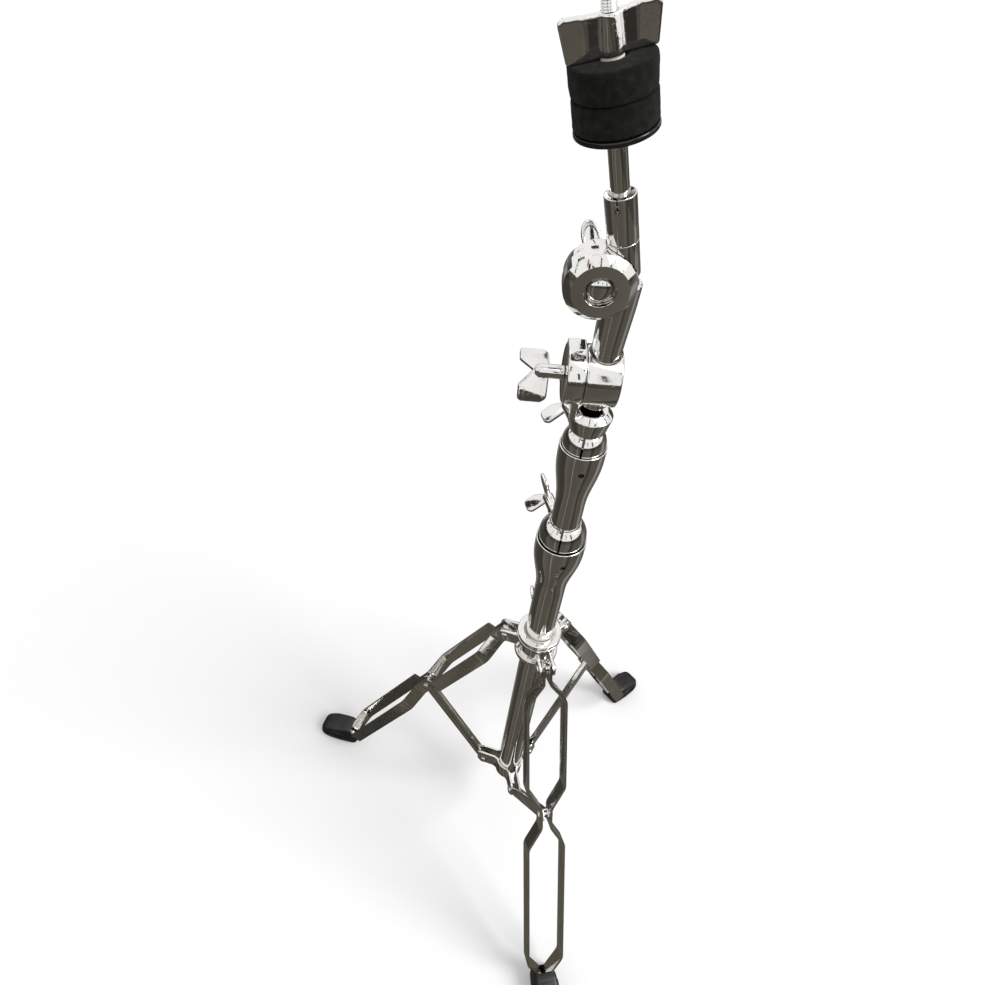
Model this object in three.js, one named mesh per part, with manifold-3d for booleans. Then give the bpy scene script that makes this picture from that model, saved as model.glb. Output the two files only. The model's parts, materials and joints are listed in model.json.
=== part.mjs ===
// Cymbal boom stand: a double-braced tripod, two telescoping tubes, two tilters and a cymbal seat.
// Millimetres, +Z up. The origin is the centre of the flat plug face under the base tube.
import * as THREE from 'three';
import { mergeVertices } from 'three/addons/utils/BufferGeometryUtils.js';
import Module from 'manifold-3d';

const wasm = await Module();
wasm.setup();

// Fits that all pieces share
const seatGap = 0.3; // between pieces that touch on the real stand
const slideGap = 0.4; // round a tube that slides in another piece
const pinGap = 0.3; // round a pin, rivet or bolt
const overrun = 3; // how far a cut runs past what it cuts

// Tripod: where the pivots lie at rest
const legAngles = { front: -91, right: 28.5, left: 150 }; // degrees about the tube
const rearBoltAngle = 93; // the side that the bells' clamp bolts face
const collarBoltAngle = 78; // hidden behind the tube in the photograph
const frontSlitAngle = -116; // the side that the slits face
const baseHoleAngle = -96;
const midHoleAngle = -104;
const legPivotHeight = 300;
const legPivotRadius = 34;
const legLean = 28; // degrees from the vertical
const legLength = 413.4; // collar pivot to the end of the second loop
const legBraceReach = 180.6; // collar pivot to brace pivot
const strutPivotHeight = -2;
const strutPivotRadius = 34;
const legEndRise = 12.9895; // the leg's end above the floor

// Leg strips
const stripThickness = 3;
const stripHeight = 15.5;
const stripTopEnd = 8; // past the collar pivot
const stripFootEnd = 7; // past the second loop, inside the rubber foot
const stripTopHalfGap = 2;
const stripFootHalfGap = 1;
const loopWidth = 43.5; // outside, across both strips
const firstLoopStart = 15.5;
const firstLoopRun = 21.5; // length of the slanted stretch below the collar
const secondLoopStart = 194;
const loopRun = 26; // length of each slanted stretch
const firstLoopEnd = 171;
const slotReach = 7.1; // the collar pivot's hole is a slot: how far it runs towards the foot
const slotDrop = 2.45; // and how far towards the tube
const slotShares = [
  // where the rivet's centre runs in it: over its reach, over its drop
  [0, 0],
  [0.5, -1],
  [1, -1],
  [1, -0.4],
];

// Rivets
const rivetRadius = 2.6;
const rivetHeadRadius = 4.7;
const rivetHeadHeight = 1.7;
const rivetShoulderShare = 0.8; // of the head's radius, where it starts to round over
const rivetShoulderRiseShare = 0.7; // of the head's height

// Struts, folded from sheet to a channel
const strutWidth = 7;
const strutHeight = 12;
const strutWall = 1.4;
const strutEnd = 6.5; // past each pivot

// Lower collar: three bent plates
const lowerPlateHeight = 24;
const lowerPlateFoot = -8;
const lowerPlateThickness = 2.2;
const lowerEarReach = 8; // past the strut pivot
const lowerEarRoot = 19; // radius where an ear leaves the wrap
const lowerWrapEase = 8; // degrees between an ear's line and the start of the wrap
const lowerWrapSteps = 5;

// Base tube and its bell
const baseOuter = 28.6;
const tubeWall = 1.2;
const baseRimHeight = 462.6; // above the plug's face
const baseBellOuter = 44.5;
const baseFlareLength = 56;
const baseBellStraight = 12.6;
const plugFlange = 3;
const plugSpigot = 15;
const bellHoleDrop = 16.4; // from the rim down to the small hole
const bellHoleRadius = 2.4;

// Mid tube and its bell
const midOuter = 25.4;
const midReach = 109; // from the base tube's rim to the mid tube's, as drawn
const midFootRoom = 56.6; // left between the mid tube's foot and the plug
const midBellOuter = 37.3;
const midFlareLength = 52;
const midBellStraight = 11.6;

// Upper tube and the lower tilter
const upperOuter = 22.2;
const upperLength = 480;
const linerWall = 0.6;
const linerHeight = 26;
const tilterReach = 64.4; // above the mid tube's rim, as drawn
const tilterTurn = -14; // degrees: where the tilter's axis points
const drumRadius = 21.5;
const fixedDrumThickness = 13;
const fixedDrumBack = 12; // the squared back of the fixed drum
const seamOffset = 12.2; // from the stand's axis to the seam between the drums
const boomDrumWidth = 24.6;
const socketTopDrop = 31; // below the tilter's axis
const socketHeight = 16.5;
const socketTopRadius = 17;
const socketFootRadius = 14;
const socketRoof = 4.5;
const socketWebShare = 0.7; // of the socket's top radius, to either side

// Boom and the upper tilter
const boomOuter = 20.6;
const boomOffset = 0.4; // from the stand's axis, along the tilter's axis
const boomLean = 4;
const boomTail = 24; // below the tilter's axis
const boomReach = 76.5; // from one tilter's axis to the other
const boomTurn = 0;
const headRadius = 23;
const headFaceRadius = 18;
const headThickness = 16.5;
const headSideOffset = 16.2; // from the tube's axis to the upper tilter's axis
const headRecessRadius = 10;
const headRecessDepth = 6;
const neckRadius = 11.8; // where it meets the drum
const neckFootRadius = 10.6; // where it meets the boom tube
const neckFoot = 25; // above the lower tilter's axis
const neckSpigot = 12; // inside the boom tube
const armTilt = 15.7;
const armDrumRadius = 21.8;
const armDrumThickness = 11;
const armBevel = 3;
const boltRadius = 4;
const boltHeadRadius = 8.6;
const boltHeadHeight = 6.2;
const boltHeadShares = [
  // half outline of the domed head: out over its radius, up over its height
  [1, 0],
  [1, 0.35],
  [0.8, 0.75],
  [0.4, 1],
  [0, 1],
];
const boltTail = 27;

// Short tube, rod and cymbal seat, measured up the short tube from the upper tilter's axis
const shortOuter = 19;
const shortSeam = 23.6;
const shortRim = 52.3;
const shortBoreRadius = 5.8;
const shortFunnelRadius = 8.7;
const shortFunnelDepth = 6;
const shortSlitDepth = 6.5;
const shortSlitWidth = 1;
const shortSlitAngle = -106; // in the arm's frame
const shortHoleRadius = 1.5;
const spigotRadius = 7.2;
const spigotHeight = 12;
const rodRadius = 5.5;
const threadRadius = 4;
const rodTip = 150;
const cupFoot = 82.6;
const cupHubRadius = 9.5;
const cupHubHeight = 4;
const cupRadius = 23;
const cupRim = 3.3;
const cupEdge = 0.9;
const feltRadius = 23.2;
const feltHeight = 16;
const feltEdge = 1.6;
const sleeveRadius = 6.2;
const wingNutHeight = 20;
const wingNutSpan = 25; // half, at the top
const wingNutFootSpan = 22.8; // half, at the bottom
const wingNutThickness = 4.6;
const wingNutSway = 3.2; // how far each wing bends out of line
const wingNutSwayShare = 0.9; // of the sway, half-way out
const wingNutHubRadius = 7;
const wingNutHubTopRadius = 5.8;

// Clamp rings in the bells
const ballMargin = 1.45; // the ball is this much smaller than the bell outside
const ballRise = 5.9; // ball centre above the rim of the base bell
const midBallRise = 3;
const ringLip = 0.8; // wall left at the top of the ring
const ringDepth = 9; // how far the ring reaches down into the bell
const ringSlit = 1.8;
const ringBossRadius = 5.5;
const ringBossReach = 27;
const midRingBossReach = 25;
const baseBossRise = 8.4; // boss centre above the rim
const midBossRise = 6.4;

// Leg collar
const collarLinerWall = 1;
const collarWall = 2.6;
const collarFlangeRadius = 22.5;
const collarFlangeThickness = 3;
const collarGrooveRadius = 20.4;
const collarTop = 18.5; // above the leg pivots
const collarFoot = 17; // below the leg pivots
const collarRingHeight = 6;
const earThickness = 3;
const earRadius = 8;
const earRoot = 17.4;
const collarBossRadius = 6;
const collarBossReach = 29;

// Wing bolts
const wingShankRadius = 3;
const wingBarrelRadius = 5;
const wingBarrelLength = 10;
const wingDepth = 21;
const wingSpan = 23;
const wingThickness = 2.6;
const wingCorner = 2.5;
const rearWingDepth = 15;
const wingSweep = 33; // degrees that each wing leans to the open side of the V
const rearWingTurn = 18; // degrees up from level, where the open side of a rear bolt faces
const collarWingTurn = 130;
const tilterWingTurn = 126; // degrees from the front, going under

// Rabbit-ear nut on the upper tilter
const earNutHubRadius = 7;
const earNutHubLength = 9;
const earNutHubTipShare = 0.75; // of the hub's radius
const earNutSteps = 11;
const earNutLength = 11; // half of an ear's long way
const earNutWidth = 6.3;
const earNutThickness = 2.6;
const earNutOut = 16.5; // the ear's centre, along the ear from the bolt's axis
const earNutOpeningShare = 0.55; // of an ear's own size
const earNutSplay = 30; // degrees that each ear leans back
const earNutTurn = -8; // degrees about its bolt, from straight up the arm

// Rubber feet
const footHalfWidth = 19.5;
const footTipReach = 49; // out from the end of the second loop
const footTop = 28; // above the floor
const footSideShares = [
  // outline of a foot's side: out over its tip reach, up over its height
  [-0.1, 0],
  [0.88, 0],
  [0.98, 0.1],
  [1, 0.25],
  [0.94, 0.38],
  [0.5, 0.74],
  [0.15, 1],
  [0.05, 0.93],
  [-0.18, 0.42],
  [-0.18, 0.17],
];
const footPlanShares = [
  // half outline of a foot from above: out over its tip reach, across over its half width
  [-0.3, 0.74],
  [0.1, 0.82],
  [0.5, 0.96],
  [0.84, 1],
  [0.94, 0.84],
  [1.02, 0.5],
];

// Counts of flats round each kind of piece
const tubeSides = 20;
const drumSides = 24;
const pinSides = 10;
const flareSteps = 5;
const ballSteps = 6;

const rad = THREE.MathUtils.degToRad;
const fullTurn = 360; // degrees

// Heights that follow from the sizes above
const floorDrop = legLength * Math.cos(rad(legLean)) - legPivotHeight + legEndRise;
const midRimHeight = baseRimHeight + midReach;
const midLength = midRimHeight - plugFlange - plugSpigot - midFootRoom;
const tilterHeight = midRimHeight + tilterReach;
const origin = new THREE.Vector3();
const up = new THREE.Vector3(0, 0, 1);

// Finishes
function finish(color, roughness, metalness) {
  return new THREE.MeshStandardMaterial({ color, roughness, metalness });
}
const chrome = finish(0xc9ccce, 0.12, 1);
const blackRubber = finish(0x161616, 0.8, 0);
const blackPlastic = finish(0x0d0d0d, 0.35, 0);
const blackFelt = finish(0x1f1e1c, 1, 0);
const nylon = finish(0xe4e1d8, 0.5, 0);

// Vectors round the tube, for an angle in degrees
function radial(angle) {
  return new THREE.Vector3(Math.cos(rad(angle)), Math.sin(rad(angle)), 0);
}
function lateral(angle) {
  return new THREE.Vector3(-Math.sin(rad(angle)), Math.cos(rad(angle)), 0);
}

// A place: local Z runs along zAxis, and local X as near xAxis as it can
function place(position, zAxis, xAxis) {
  const z = zAxis.clone().normalize();
  const x = xAxis.clone().addScaledVector(z, -xAxis.dot(z)).normalize();
  const y = new THREE.Vector3().crossVectors(z, x);
  return new THREE.Matrix4().makeBasis(x, y, z).setPosition(position);
}

function signedVolume(points, faces) {
  const [a, b, c] = [new THREE.Vector3(), new THREE.Vector3(), new THREE.Vector3()];
  let sum = 0;
  for (let i = 0; i < faces.length; i += 3) {
    a.fromArray(points, faces[i] * 3);
    b.fromArray(points, faces[i + 1] * 3);
    c.fromArray(points, faces[i + 2] * 3);
    sum += a.dot(b.cross(c));
  }
  return sum;
}

// A closed solid from any closed geometry, its faces turned outwards
function solid(geometry, matrix) {
  const bare = geometry.clone();
  for (const name of Object.keys(bare.attributes)) {
    if (name !== 'position') bare.deleteAttribute(name);
  }
  if (matrix) bare.applyMatrix4(matrix);
  const merged = mergeVertices(bare);
  const points = Float32Array.from(merged.attributes.position.array);
  const faces = [];
  for (let i = 0; i < merged.index.count; i += 3) {
    const [a, b, c] = [0, 1, 2].map((k) => merged.index.getX(i + k));
    if (a !== b && b !== c && c !== a) faces.push(a, b, c);
  }
  if (signedVolume(points, faces) < 0) faces.reverse();
  return new wasm.Manifold(new wasm.Mesh({
    numProp: 3,
    vertProperties: points,
    triVerts: Uint32Array.from(faces),
  }));
}

function geometryOf(body) {
  const { vertProperties, triVerts } = body.getMesh();
  const geometry = new THREE.BufferGeometry();
  geometry.setAttribute('position', new THREE.BufferAttribute(Float32Array.from(vertProperties), 3));
  geometry.setIndex(new THREE.BufferAttribute(Uint32Array.from(triVerts), 1));
  geometry.computeVertexNormals();
  return geometry;
}

function addPiece(parent, name, body, material) {
  const mesh = new THREE.Mesh(geometryOf(body), material.clone());
  mesh.name = name;
  parent.add(mesh);
  return mesh;
}

// A turned piece about Z from [radius, height] pairs that start and end on the axis
function turned(profile, sides, matrix) {
  const points = profile.map(([radius, height]) => new THREE.Vector2(radius, height));
  const geometry = new THREE.LatheGeometry(points, sides);
  geometry.rotateX(Math.PI / 2);
  return solid(geometry, matrix);
}

// A turned ring about Z, whose profile closes on itself
function turnedRing(profile, sides, matrix) {
  return turned([...profile, profile[0]], sides, matrix);
}

function cylinder(radius, from, to, sides, matrix) {
  return turned([[0, from], [radius, from], [radius, to], [0, to]], sides, matrix);
}

// A flat plate: an outline in local XY, from one height to another
function plate(outline, from, to, matrix) {
  const shape = new THREE.Shape(outline.map(([x, y]) => new THREE.Vector2(x, y)));
  const geometry = new THREE.ExtrudeGeometry(shape, { depth: to - from, bevelEnabled: false });
  geometry.translate(0, 0, from);
  return solid(geometry, matrix);
}

function box(low, high, matrix) {
  const geometry = new THREE.BoxGeometry(high[0] - low[0], high[1] - low[1], high[2] - low[2]);
  geometry.translate((low[0] + high[0]) / 2, (low[1] + high[1]) / 2, (low[2] + high[2]) / 2);
  return solid(geometry, matrix);
}

// Points on an arc, angles in degrees
function arc(centre, radius, from, to, steps) {
  return Array.from({ length: steps + 1 }, (_, i) => {
    const angle = rad(from + ((to - from) * i) / steps);
    return [centre[0] + radius * Math.cos(angle), centre[1] + radius * Math.sin(angle)];
  });
}

// The outline of a strip of even thickness along a centre line
function ribbon(line, thickness) {
  const points = line.map(([x, y]) => new THREE.Vector2(x, y));
  const sideNormal = (a, b) => {
    const run = b.clone().sub(a).normalize();
    return new THREE.Vector2(-run.y, run.x);
  };
  const offsets = points.map((point, i) => {
    const before = i > 0 ? sideNormal(points[i - 1], point) : null;
    const after = i < points.length - 1 ? sideNormal(point, points[i + 1]) : null;
    if (!before || !after) return before ?? after;
    const mean = before.clone().add(after).normalize();
    return mean.divideScalar(mean.dot(after));
  });
  const edge = (side) => points.map((point, i) => {
    const moved = point.clone().addScaledVector(offsets[i], (side * thickness) / 2);
    return [moved.x, moved.y];
  });
  return [...edge(1), ...edge(-1).reverse()];
}

// A rivet along local Z, centred, with a low domed head at each end
function rivet(halfGrip, matrix) {
  const head = halfGrip + seatGap;
  const crown = head + rivetHeadHeight;
  const half = [
    [rivetRadius, head],
    [rivetHeadRadius, head],
    [rivetHeadRadius * rivetShoulderShare, head + rivetHeadHeight * rivetShoulderRiseShare],
    [0, crown],
  ];
  const lower = half.map(([radius, height]) => [radius, -height]).reverse();
  return turned([...lower, ...half], pinSides, matrix);
}

// A wing bolt along local Z from its tip, with the open side of its wings towards local X
function wingBolt(shankLength, depth, matrix) {
  const barrelTop = shankLength + wingBarrelLength;
  const wingTop = barrelTop + depth;
  let body = turned([
    [0, 0],
    [wingShankRadius, 0],
    [wingShankRadius, shankLength],
    [wingBarrelRadius, shankLength],
    [wingBarrelRadius, barrelTop + depth / 3],
    [wingThickness, barrelTop + depth / 2],
    [0, barrelTop + depth / 2],
  ], pinSides);
  const outline = [
    [0, barrelTop],
    [wingSpan - wingCorner, barrelTop],
    [wingSpan, barrelTop + wingCorner],
    [wingSpan, wingTop - wingCorner],
    [wingSpan - wingCorner, wingTop],
    [0, wingTop],
  ];
  for (const side of [1, -1]) {
    const run = radial(side * (90 - wingSweep));
    const across = new THREE.Vector3().crossVectors(run, up);
    const wing = plate(outline, -wingThickness / 2, wingThickness / 2, place(origin, across, run));
    body = body.add(wing);
  }
  return body.transform(matrix.elements);
}

// The outside radius of a tube that swells into its bell
function bellRadius(bell, height) {
  const rise = THREE.MathUtils.clamp((height - bell.flareFrom) / bell.flareLength, 0, 1);
  return bell.tubeRadius + ((bell.radius - bell.tubeRadius) * (1 - Math.cos(Math.PI * rise))) / 2;
}

const baseBell = {
  tubeRadius: baseOuter / 2,
  radius: baseBellOuter / 2,
  rim: baseRimHeight,
  flareLength: baseFlareLength,
  flareFrom: baseRimHeight - baseBellStraight - baseFlareLength,
  ballRise,
  holeAngle: baseHoleAngle,
  bossHeight: baseRimHeight + baseBossRise,
  bossReach: ringBossReach,
  innerTubeRadius: midOuter / 2,
};
const midBell = {
  tubeRadius: midOuter / 2,
  radius: midBellOuter / 2,
  rim: midRimHeight,
  flareLength: midFlareLength,
  flareFrom: midRimHeight - midBellStraight - midFlareLength,
  ballRise: midBallRise,
  holeAngle: midHoleAngle,
  bossHeight: midRimHeight + midBossRise,
  bossReach: midRingBossReach,
  innerTubeRadius: upperOuter / 2,
};

// A tube with a bell at its top and a small hole in the bell's front
function belledTube(bell, foot) {
  const heights = [foot];
  for (let i = 0; i <= flareSteps; i += 1) {
    heights.push(bell.flareFrom + (bell.flareLength * i) / flareSteps);
  }
  heights.push(bell.rim);
  const outside = heights.map((height) => [bellRadius(bell, height), height]);
  const inside = outside.map(([radius, height]) => [radius - tubeWall, height]).reverse();
  const hole = place(new THREE.Vector3(0, 0, bell.rim - bellHoleDrop), radial(bell.holeAngle), up);
  return turnedRing([...outside, ...inside], tubeSides)
    .subtract(cylinder(bellHoleRadius, 0, bell.radius + overrun, pinSides, hole));
}

// The nylon bush under a clamp ring
function bellLiner(bell) {
  const top = bell.rim - ringDepth - seatGap;
  const foot = top - linerHeight;
  const bore = bell.innerTubeRadius + slideGap;
  const seat = (height) => bellRadius(bell, height) - tubeWall - slideGap;
  const middle = (top + foot) / 2;
  return turnedRing([
    [bore, foot],
    [Math.max(seat(foot), bore + linerWall), foot],
    [seat(middle), middle],
    [seat(top), top],
    [bore, top],
  ], tubeSides);
}

// The ball-shaped split ring that the wing bolt tightens
function clampRing(bell) {
  const ball = bell.radius - ballMargin;
  const centre = bell.rim + bell.ballRise;
  const bore = bell.innerTubeRadius + slideGap;
  const foot = bell.rim - ringDepth;
  const from = Math.asin((foot - centre) / ball);
  const to = Math.acos((bore + ringLip) / ball);
  const profile = [[bore, foot]];
  for (let i = 0; i <= ballSteps; i += 1) {
    const angle = from + ((to - from) * i) / ballSteps;
    profile.push([ball * Math.cos(angle), centre + ball * Math.sin(angle)]);
  }
  profile.push([bore, centre + ball * Math.sin(to)]);
  const top = centre + ball + overrun;
  const slit = place(origin, up, radial(frontSlitAngle));
  const boss = place(new THREE.Vector3(0, 0, bell.bossHeight), radial(rearBoltAngle), up);
  return turnedRing(profile, tubeSides)
    .add(cylinder(ringBossRadius, bore, bell.bossReach, pinSides, boss))
    .subtract(cylinder(bore, foot, top, tubeSides))
    .subtract(box([0, -ringSlit / 2, foot - overrun], [ball + overrun, ringSlit / 2, top], slit))
    .subtract(cylinder(wingShankRadius + pinGap, 0, bell.bossReach + overrun, pinSides, boss));
}

// A clamp bolt that points at the tube it tightens
function clampBolt(height, angle, tubeRadius, bossReach, wingTurn) {
  const out = radial(angle);
  const tip = tubeRadius + slideGap;
  const at = out.clone().multiplyScalar(tip).setZ(height);
  const openSide = lateral(angle).applyAxisAngle(out, rad(wingTurn));
  return wingBolt(bossReach + seatGap - tip, rearWingDepth, place(at, out, openSide));
}

function bellBolt(bell) {
  return clampBolt(bell.bossHeight, rearBoltAngle, bell.innerTubeRadius, bell.bossReach, rearWingTurn);
}

// Base: tube, plug, bush, clamp ring and bolt
function addBase(stand) {
  const plug = turned([
    [0, 0],
    [baseBell.tubeRadius, 0],
    [baseBell.tubeRadius, plugFlange],
    [baseBell.tubeRadius - tubeWall - seatGap, plugFlange],
    [baseBell.tubeRadius - tubeWall - seatGap, plugFlange + plugSpigot],
    [0, plugFlange + plugSpigot],
  ], tubeSides);
  addPiece(stand, 'base_plug', plug, blackRubber);
  addPiece(stand, 'base_tube', belledTube(baseBell, plugFlange + seatGap), chrome);
  addPiece(stand, 'base_bush', bellLiner(baseBell), nylon);
  addPiece(stand, 'base_clamp_ring', clampRing(baseBell), chrome);
  const bolt = bellBolt(baseBell);
  addPiece(stand, 'base_wing_bolt', bolt, chrome);
}

// Lower collar: each plate wraps a third of the tube and ends in two ears
function lowerPlate(angle, next) {
  const wrapRadius = baseOuter / 2 + seatGap + lowerPlateThickness / 2;
  const earSide = strutWidth / 2 + seatGap + lowerPlateThickness / 2;
  const ear = (at, side, radius) => {
    const point = radial(at).multiplyScalar(radius).addScaledVector(lateral(at), side * earSide);
    return [point.x, point.y];
  };
  const ease = THREE.MathUtils.radToDeg(Math.asin(earSide / wrapRadius)) + lowerWrapEase;
  const line = [
    ear(angle, 1, strutPivotRadius + lowerEarReach),
    ear(angle, 1, lowerEarRoot),
    ...arc([0, 0], wrapRadius, angle + ease, next - ease, lowerWrapSteps),
    ear(next, -1, lowerEarRoot),
    ear(next, -1, strutPivotRadius + lowerEarReach),
  ];
  const hole = rivetRadius + pinGap;
  const reach = lowerPlateHeight;
  let body = plate(ribbon(line, lowerPlateThickness), lowerPlateFoot,
    lowerPlateFoot + lowerPlateHeight);
  for (const at of [angle, next]) {
    const pivot = radial(at).multiplyScalar(strutPivotRadius).setZ(strutPivotHeight);
    body = body.subtract(cylinder(hole, -reach, reach, pinSides, place(pivot, lateral(at), up)));
  }
  return body;
}

function addLowerCollar(stand) {
  const { front, right, left } = legAngles;
  const spans = { left: [left, front + fullTurn], front: [front, right], right: [right, left] };
  for (const [side, [from, to]] of Object.entries(spans)) {
    addPiece(stand, `lower_collar_plate_${side}`, lowerPlate(from, to), chrome);
  }
  const grip = strutWidth / 2 + seatGap + lowerPlateThickness;
  for (const [side, angle] of Object.entries(legAngles)) {
    const pivot = radial(angle).multiplyScalar(strutPivotRadius).setZ(strutPivotHeight);
    addPiece(stand, `${side}_lower_rivet`, rivet(grip, place(pivot, lateral(angle), up)), chrome);
  }
}

// Leg collar: a flanged sleeve with a pair of ears for each leg and a boss for its bolt
const legStripOuterAtTop = stripTopHalfGap + stripThickness;

function collarBody() {
  const bore = baseOuter / 2 + slideGap + collarLinerWall + seatGap;
  const waist = bore + collarWall;
  let body = turnedRing([
    [bore, -collarFoot],
    [collarFlangeRadius, -collarFoot],
    [collarFlangeRadius, collarRingHeight - collarFoot],
    [waist, collarRingHeight - collarFoot],
    [waist, collarTop - 3 * collarFlangeThickness],
    [collarFlangeRadius, collarTop - 3 * collarFlangeThickness],
    [collarFlangeRadius, collarTop - 2 * collarFlangeThickness],
    [collarGrooveRadius, collarTop - 2 * collarFlangeThickness],
    [collarGrooveRadius, collarTop - collarFlangeThickness],
    [collarFlangeRadius, collarTop - collarFlangeThickness],
    [collarFlangeRadius, collarTop],
    [bore, collarTop],
  ], tubeSides);
  const outline = [
    [earRoot, -earRadius],
    ...arc([legPivotRadius, 0], earRadius, -90, 90, 6),
    [earRoot, earRadius],
  ];
  const inner = legStripOuterAtTop + slideGap;
  const reach = inner + earThickness + overrun;
  const hole = rivetRadius + pinGap;
  for (const angle of Object.values(legAngles)) {
    const ears = place(origin, lateral(angle).negate(), radial(angle));
    body = body.add(plate(outline, inner, inner + earThickness, ears));
    body = body.add(plate(outline, -inner - earThickness, -inner, ears));
    const pivot = place(radial(angle).multiplyScalar(legPivotRadius), lateral(angle), up);
    body = body.subtract(cylinder(hole, -reach, reach, pinSides, pivot));
  }
  const boss = place(origin, radial(collarBoltAngle), up);
  return body
    .add(cylinder(collarBossRadius, bore, collarBossReach, pinSides, boss))
    .subtract(cylinder(bore, -collarFoot - overrun, collarTop + overrun, tubeSides))
    .subtract(cylinder(wingShankRadius + pinGap, 0, collarBossReach + overrun, pinSides, boss));
}

function addLegCollar(stand) {
  const collar = new THREE.Group();
  collar.position.z = legPivotHeight;
  stand.add(collar);
  const inner = baseOuter / 2 + slideGap;
  const outer = inner + collarLinerWall;
  const liner = turnedRing([
    [inner, -collarFoot],
    [outer, -collarFoot],
    [outer, collarTop],
    [inner, collarTop],
  ], tubeSides);
  const boss = place(origin, radial(collarBoltAngle), up);
  const linerHole = cylinder(wingShankRadius + pinGap, 0, outer + overrun, pinSides, boss);
  addPiece(collar, 'leg_collar', collarBody(), chrome);
  addPiece(collar, 'leg_collar_bush', liner.subtract(linerHole), nylon);
  const bolt = clampBolt(0, collarBoltAngle, baseOuter / 2, collarBossReach, collarWingTurn);
  addPiece(collar, 'collar_wing_bolt', bolt, chrome);
  const grip = legStripOuterAtTop + slideGap + earThickness;
  for (const [side, angle] of Object.entries(legAngles)) {
    const pivot = radial(angle).multiplyScalar(legPivotRadius);
    addPiece(collar, `${side}_collar_rivet`, rivet(grip, place(pivot, lateral(angle), up)), chrome);
  }
}

// One leg strip, in the leg's own frame: X down the leg, Y across it
function legStrip(side) {
  const half = stripThickness / 2;
  const atTop = side * (stripTopHalfGap + half);
  const atBrace = side * (strutWidth / 2 + seatGap + half);
  const atLoop = side * (loopWidth / 2 - half);
  const atFoot = side * (stripFootHalfGap + half);
  const line = [
    [-stripTopEnd, atTop],
    [firstLoopStart, atTop],
    [firstLoopStart + firstLoopRun, atLoop],
    [firstLoopEnd - loopRun, atLoop],
    [firstLoopEnd, atBrace],
    [secondLoopStart, atBrace],
    [secondLoopStart + loopRun, atLoop],
    [legLength - loopRun, atLoop],
    [legLength, atFoot],
    [legLength + stripFootEnd, atFoot],
  ];
  const hole = rivetRadius + pinGap;
  const across = new THREE.Vector3(0, 1, 0);
  const brace = place(new THREE.Vector3(legBraceReach, 0, 0), across, up);
  const slotEnds = slotShares.map(([reach, drop]) => {
    const at = new THREE.Vector3(reach * slotReach, 0, drop * slotDrop);
    return cylinder(hole, -loopWidth, loopWidth, pinSides, place(at, across, up));
  });
  return plate(ribbon(line, stripThickness), -stripHeight / 2, stripHeight / 2)
    .subtract(cylinder(hole, -loopWidth, loopWidth, pinSides, brace))
    .subtract(wasm.Manifold.hull(slotEnds));
}

// The rubber foot: a side outline and a plan outline, both in the floor's frame. The pocket for
// the strips' ends is cut in the leg's frame, from the end of the second loop.
function foot(loopEnd) {
  const side = footSideShares.map(([out, rise]) => [out * footTipReach, rise * footTop]);
  const half = footPlanShares.map(([out, wide]) => [out * footTipReach, wide * footHalfWidth]);
  const plan = [...half, ...half.map(([x, y]) => [x, -y]).reverse()];
  const across = new THREE.Vector3(0, -1, 0);
  const upright = place(origin, across, new THREE.Vector3(1, 0, 0));
  const narrow = stripFootHalfGap + stripThickness + seatGap;
  const wide = narrow + loopWidth / 2 - stripFootHalfGap - stripThickness;
  const bend = 2 * seatGap;
  const pocket = [
    [stripFootEnd + seatGap, -narrow],
    [stripFootEnd + seatGap, narrow],
    [bend, narrow],
    [bend - loopRun, wide],
    [bend - loopRun, -wide],
    [bend, -narrow],
  ];
  const depth = stripHeight / 2 + seatGap;
  return plate(side, -footHalfWidth - overrun, footHalfWidth + overrun, upright)
    .intersect(plate(plan, -overrun, footTop + overrun))
    .subtract(plate(pocket, -depth, depth, loopEnd));
}

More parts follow.
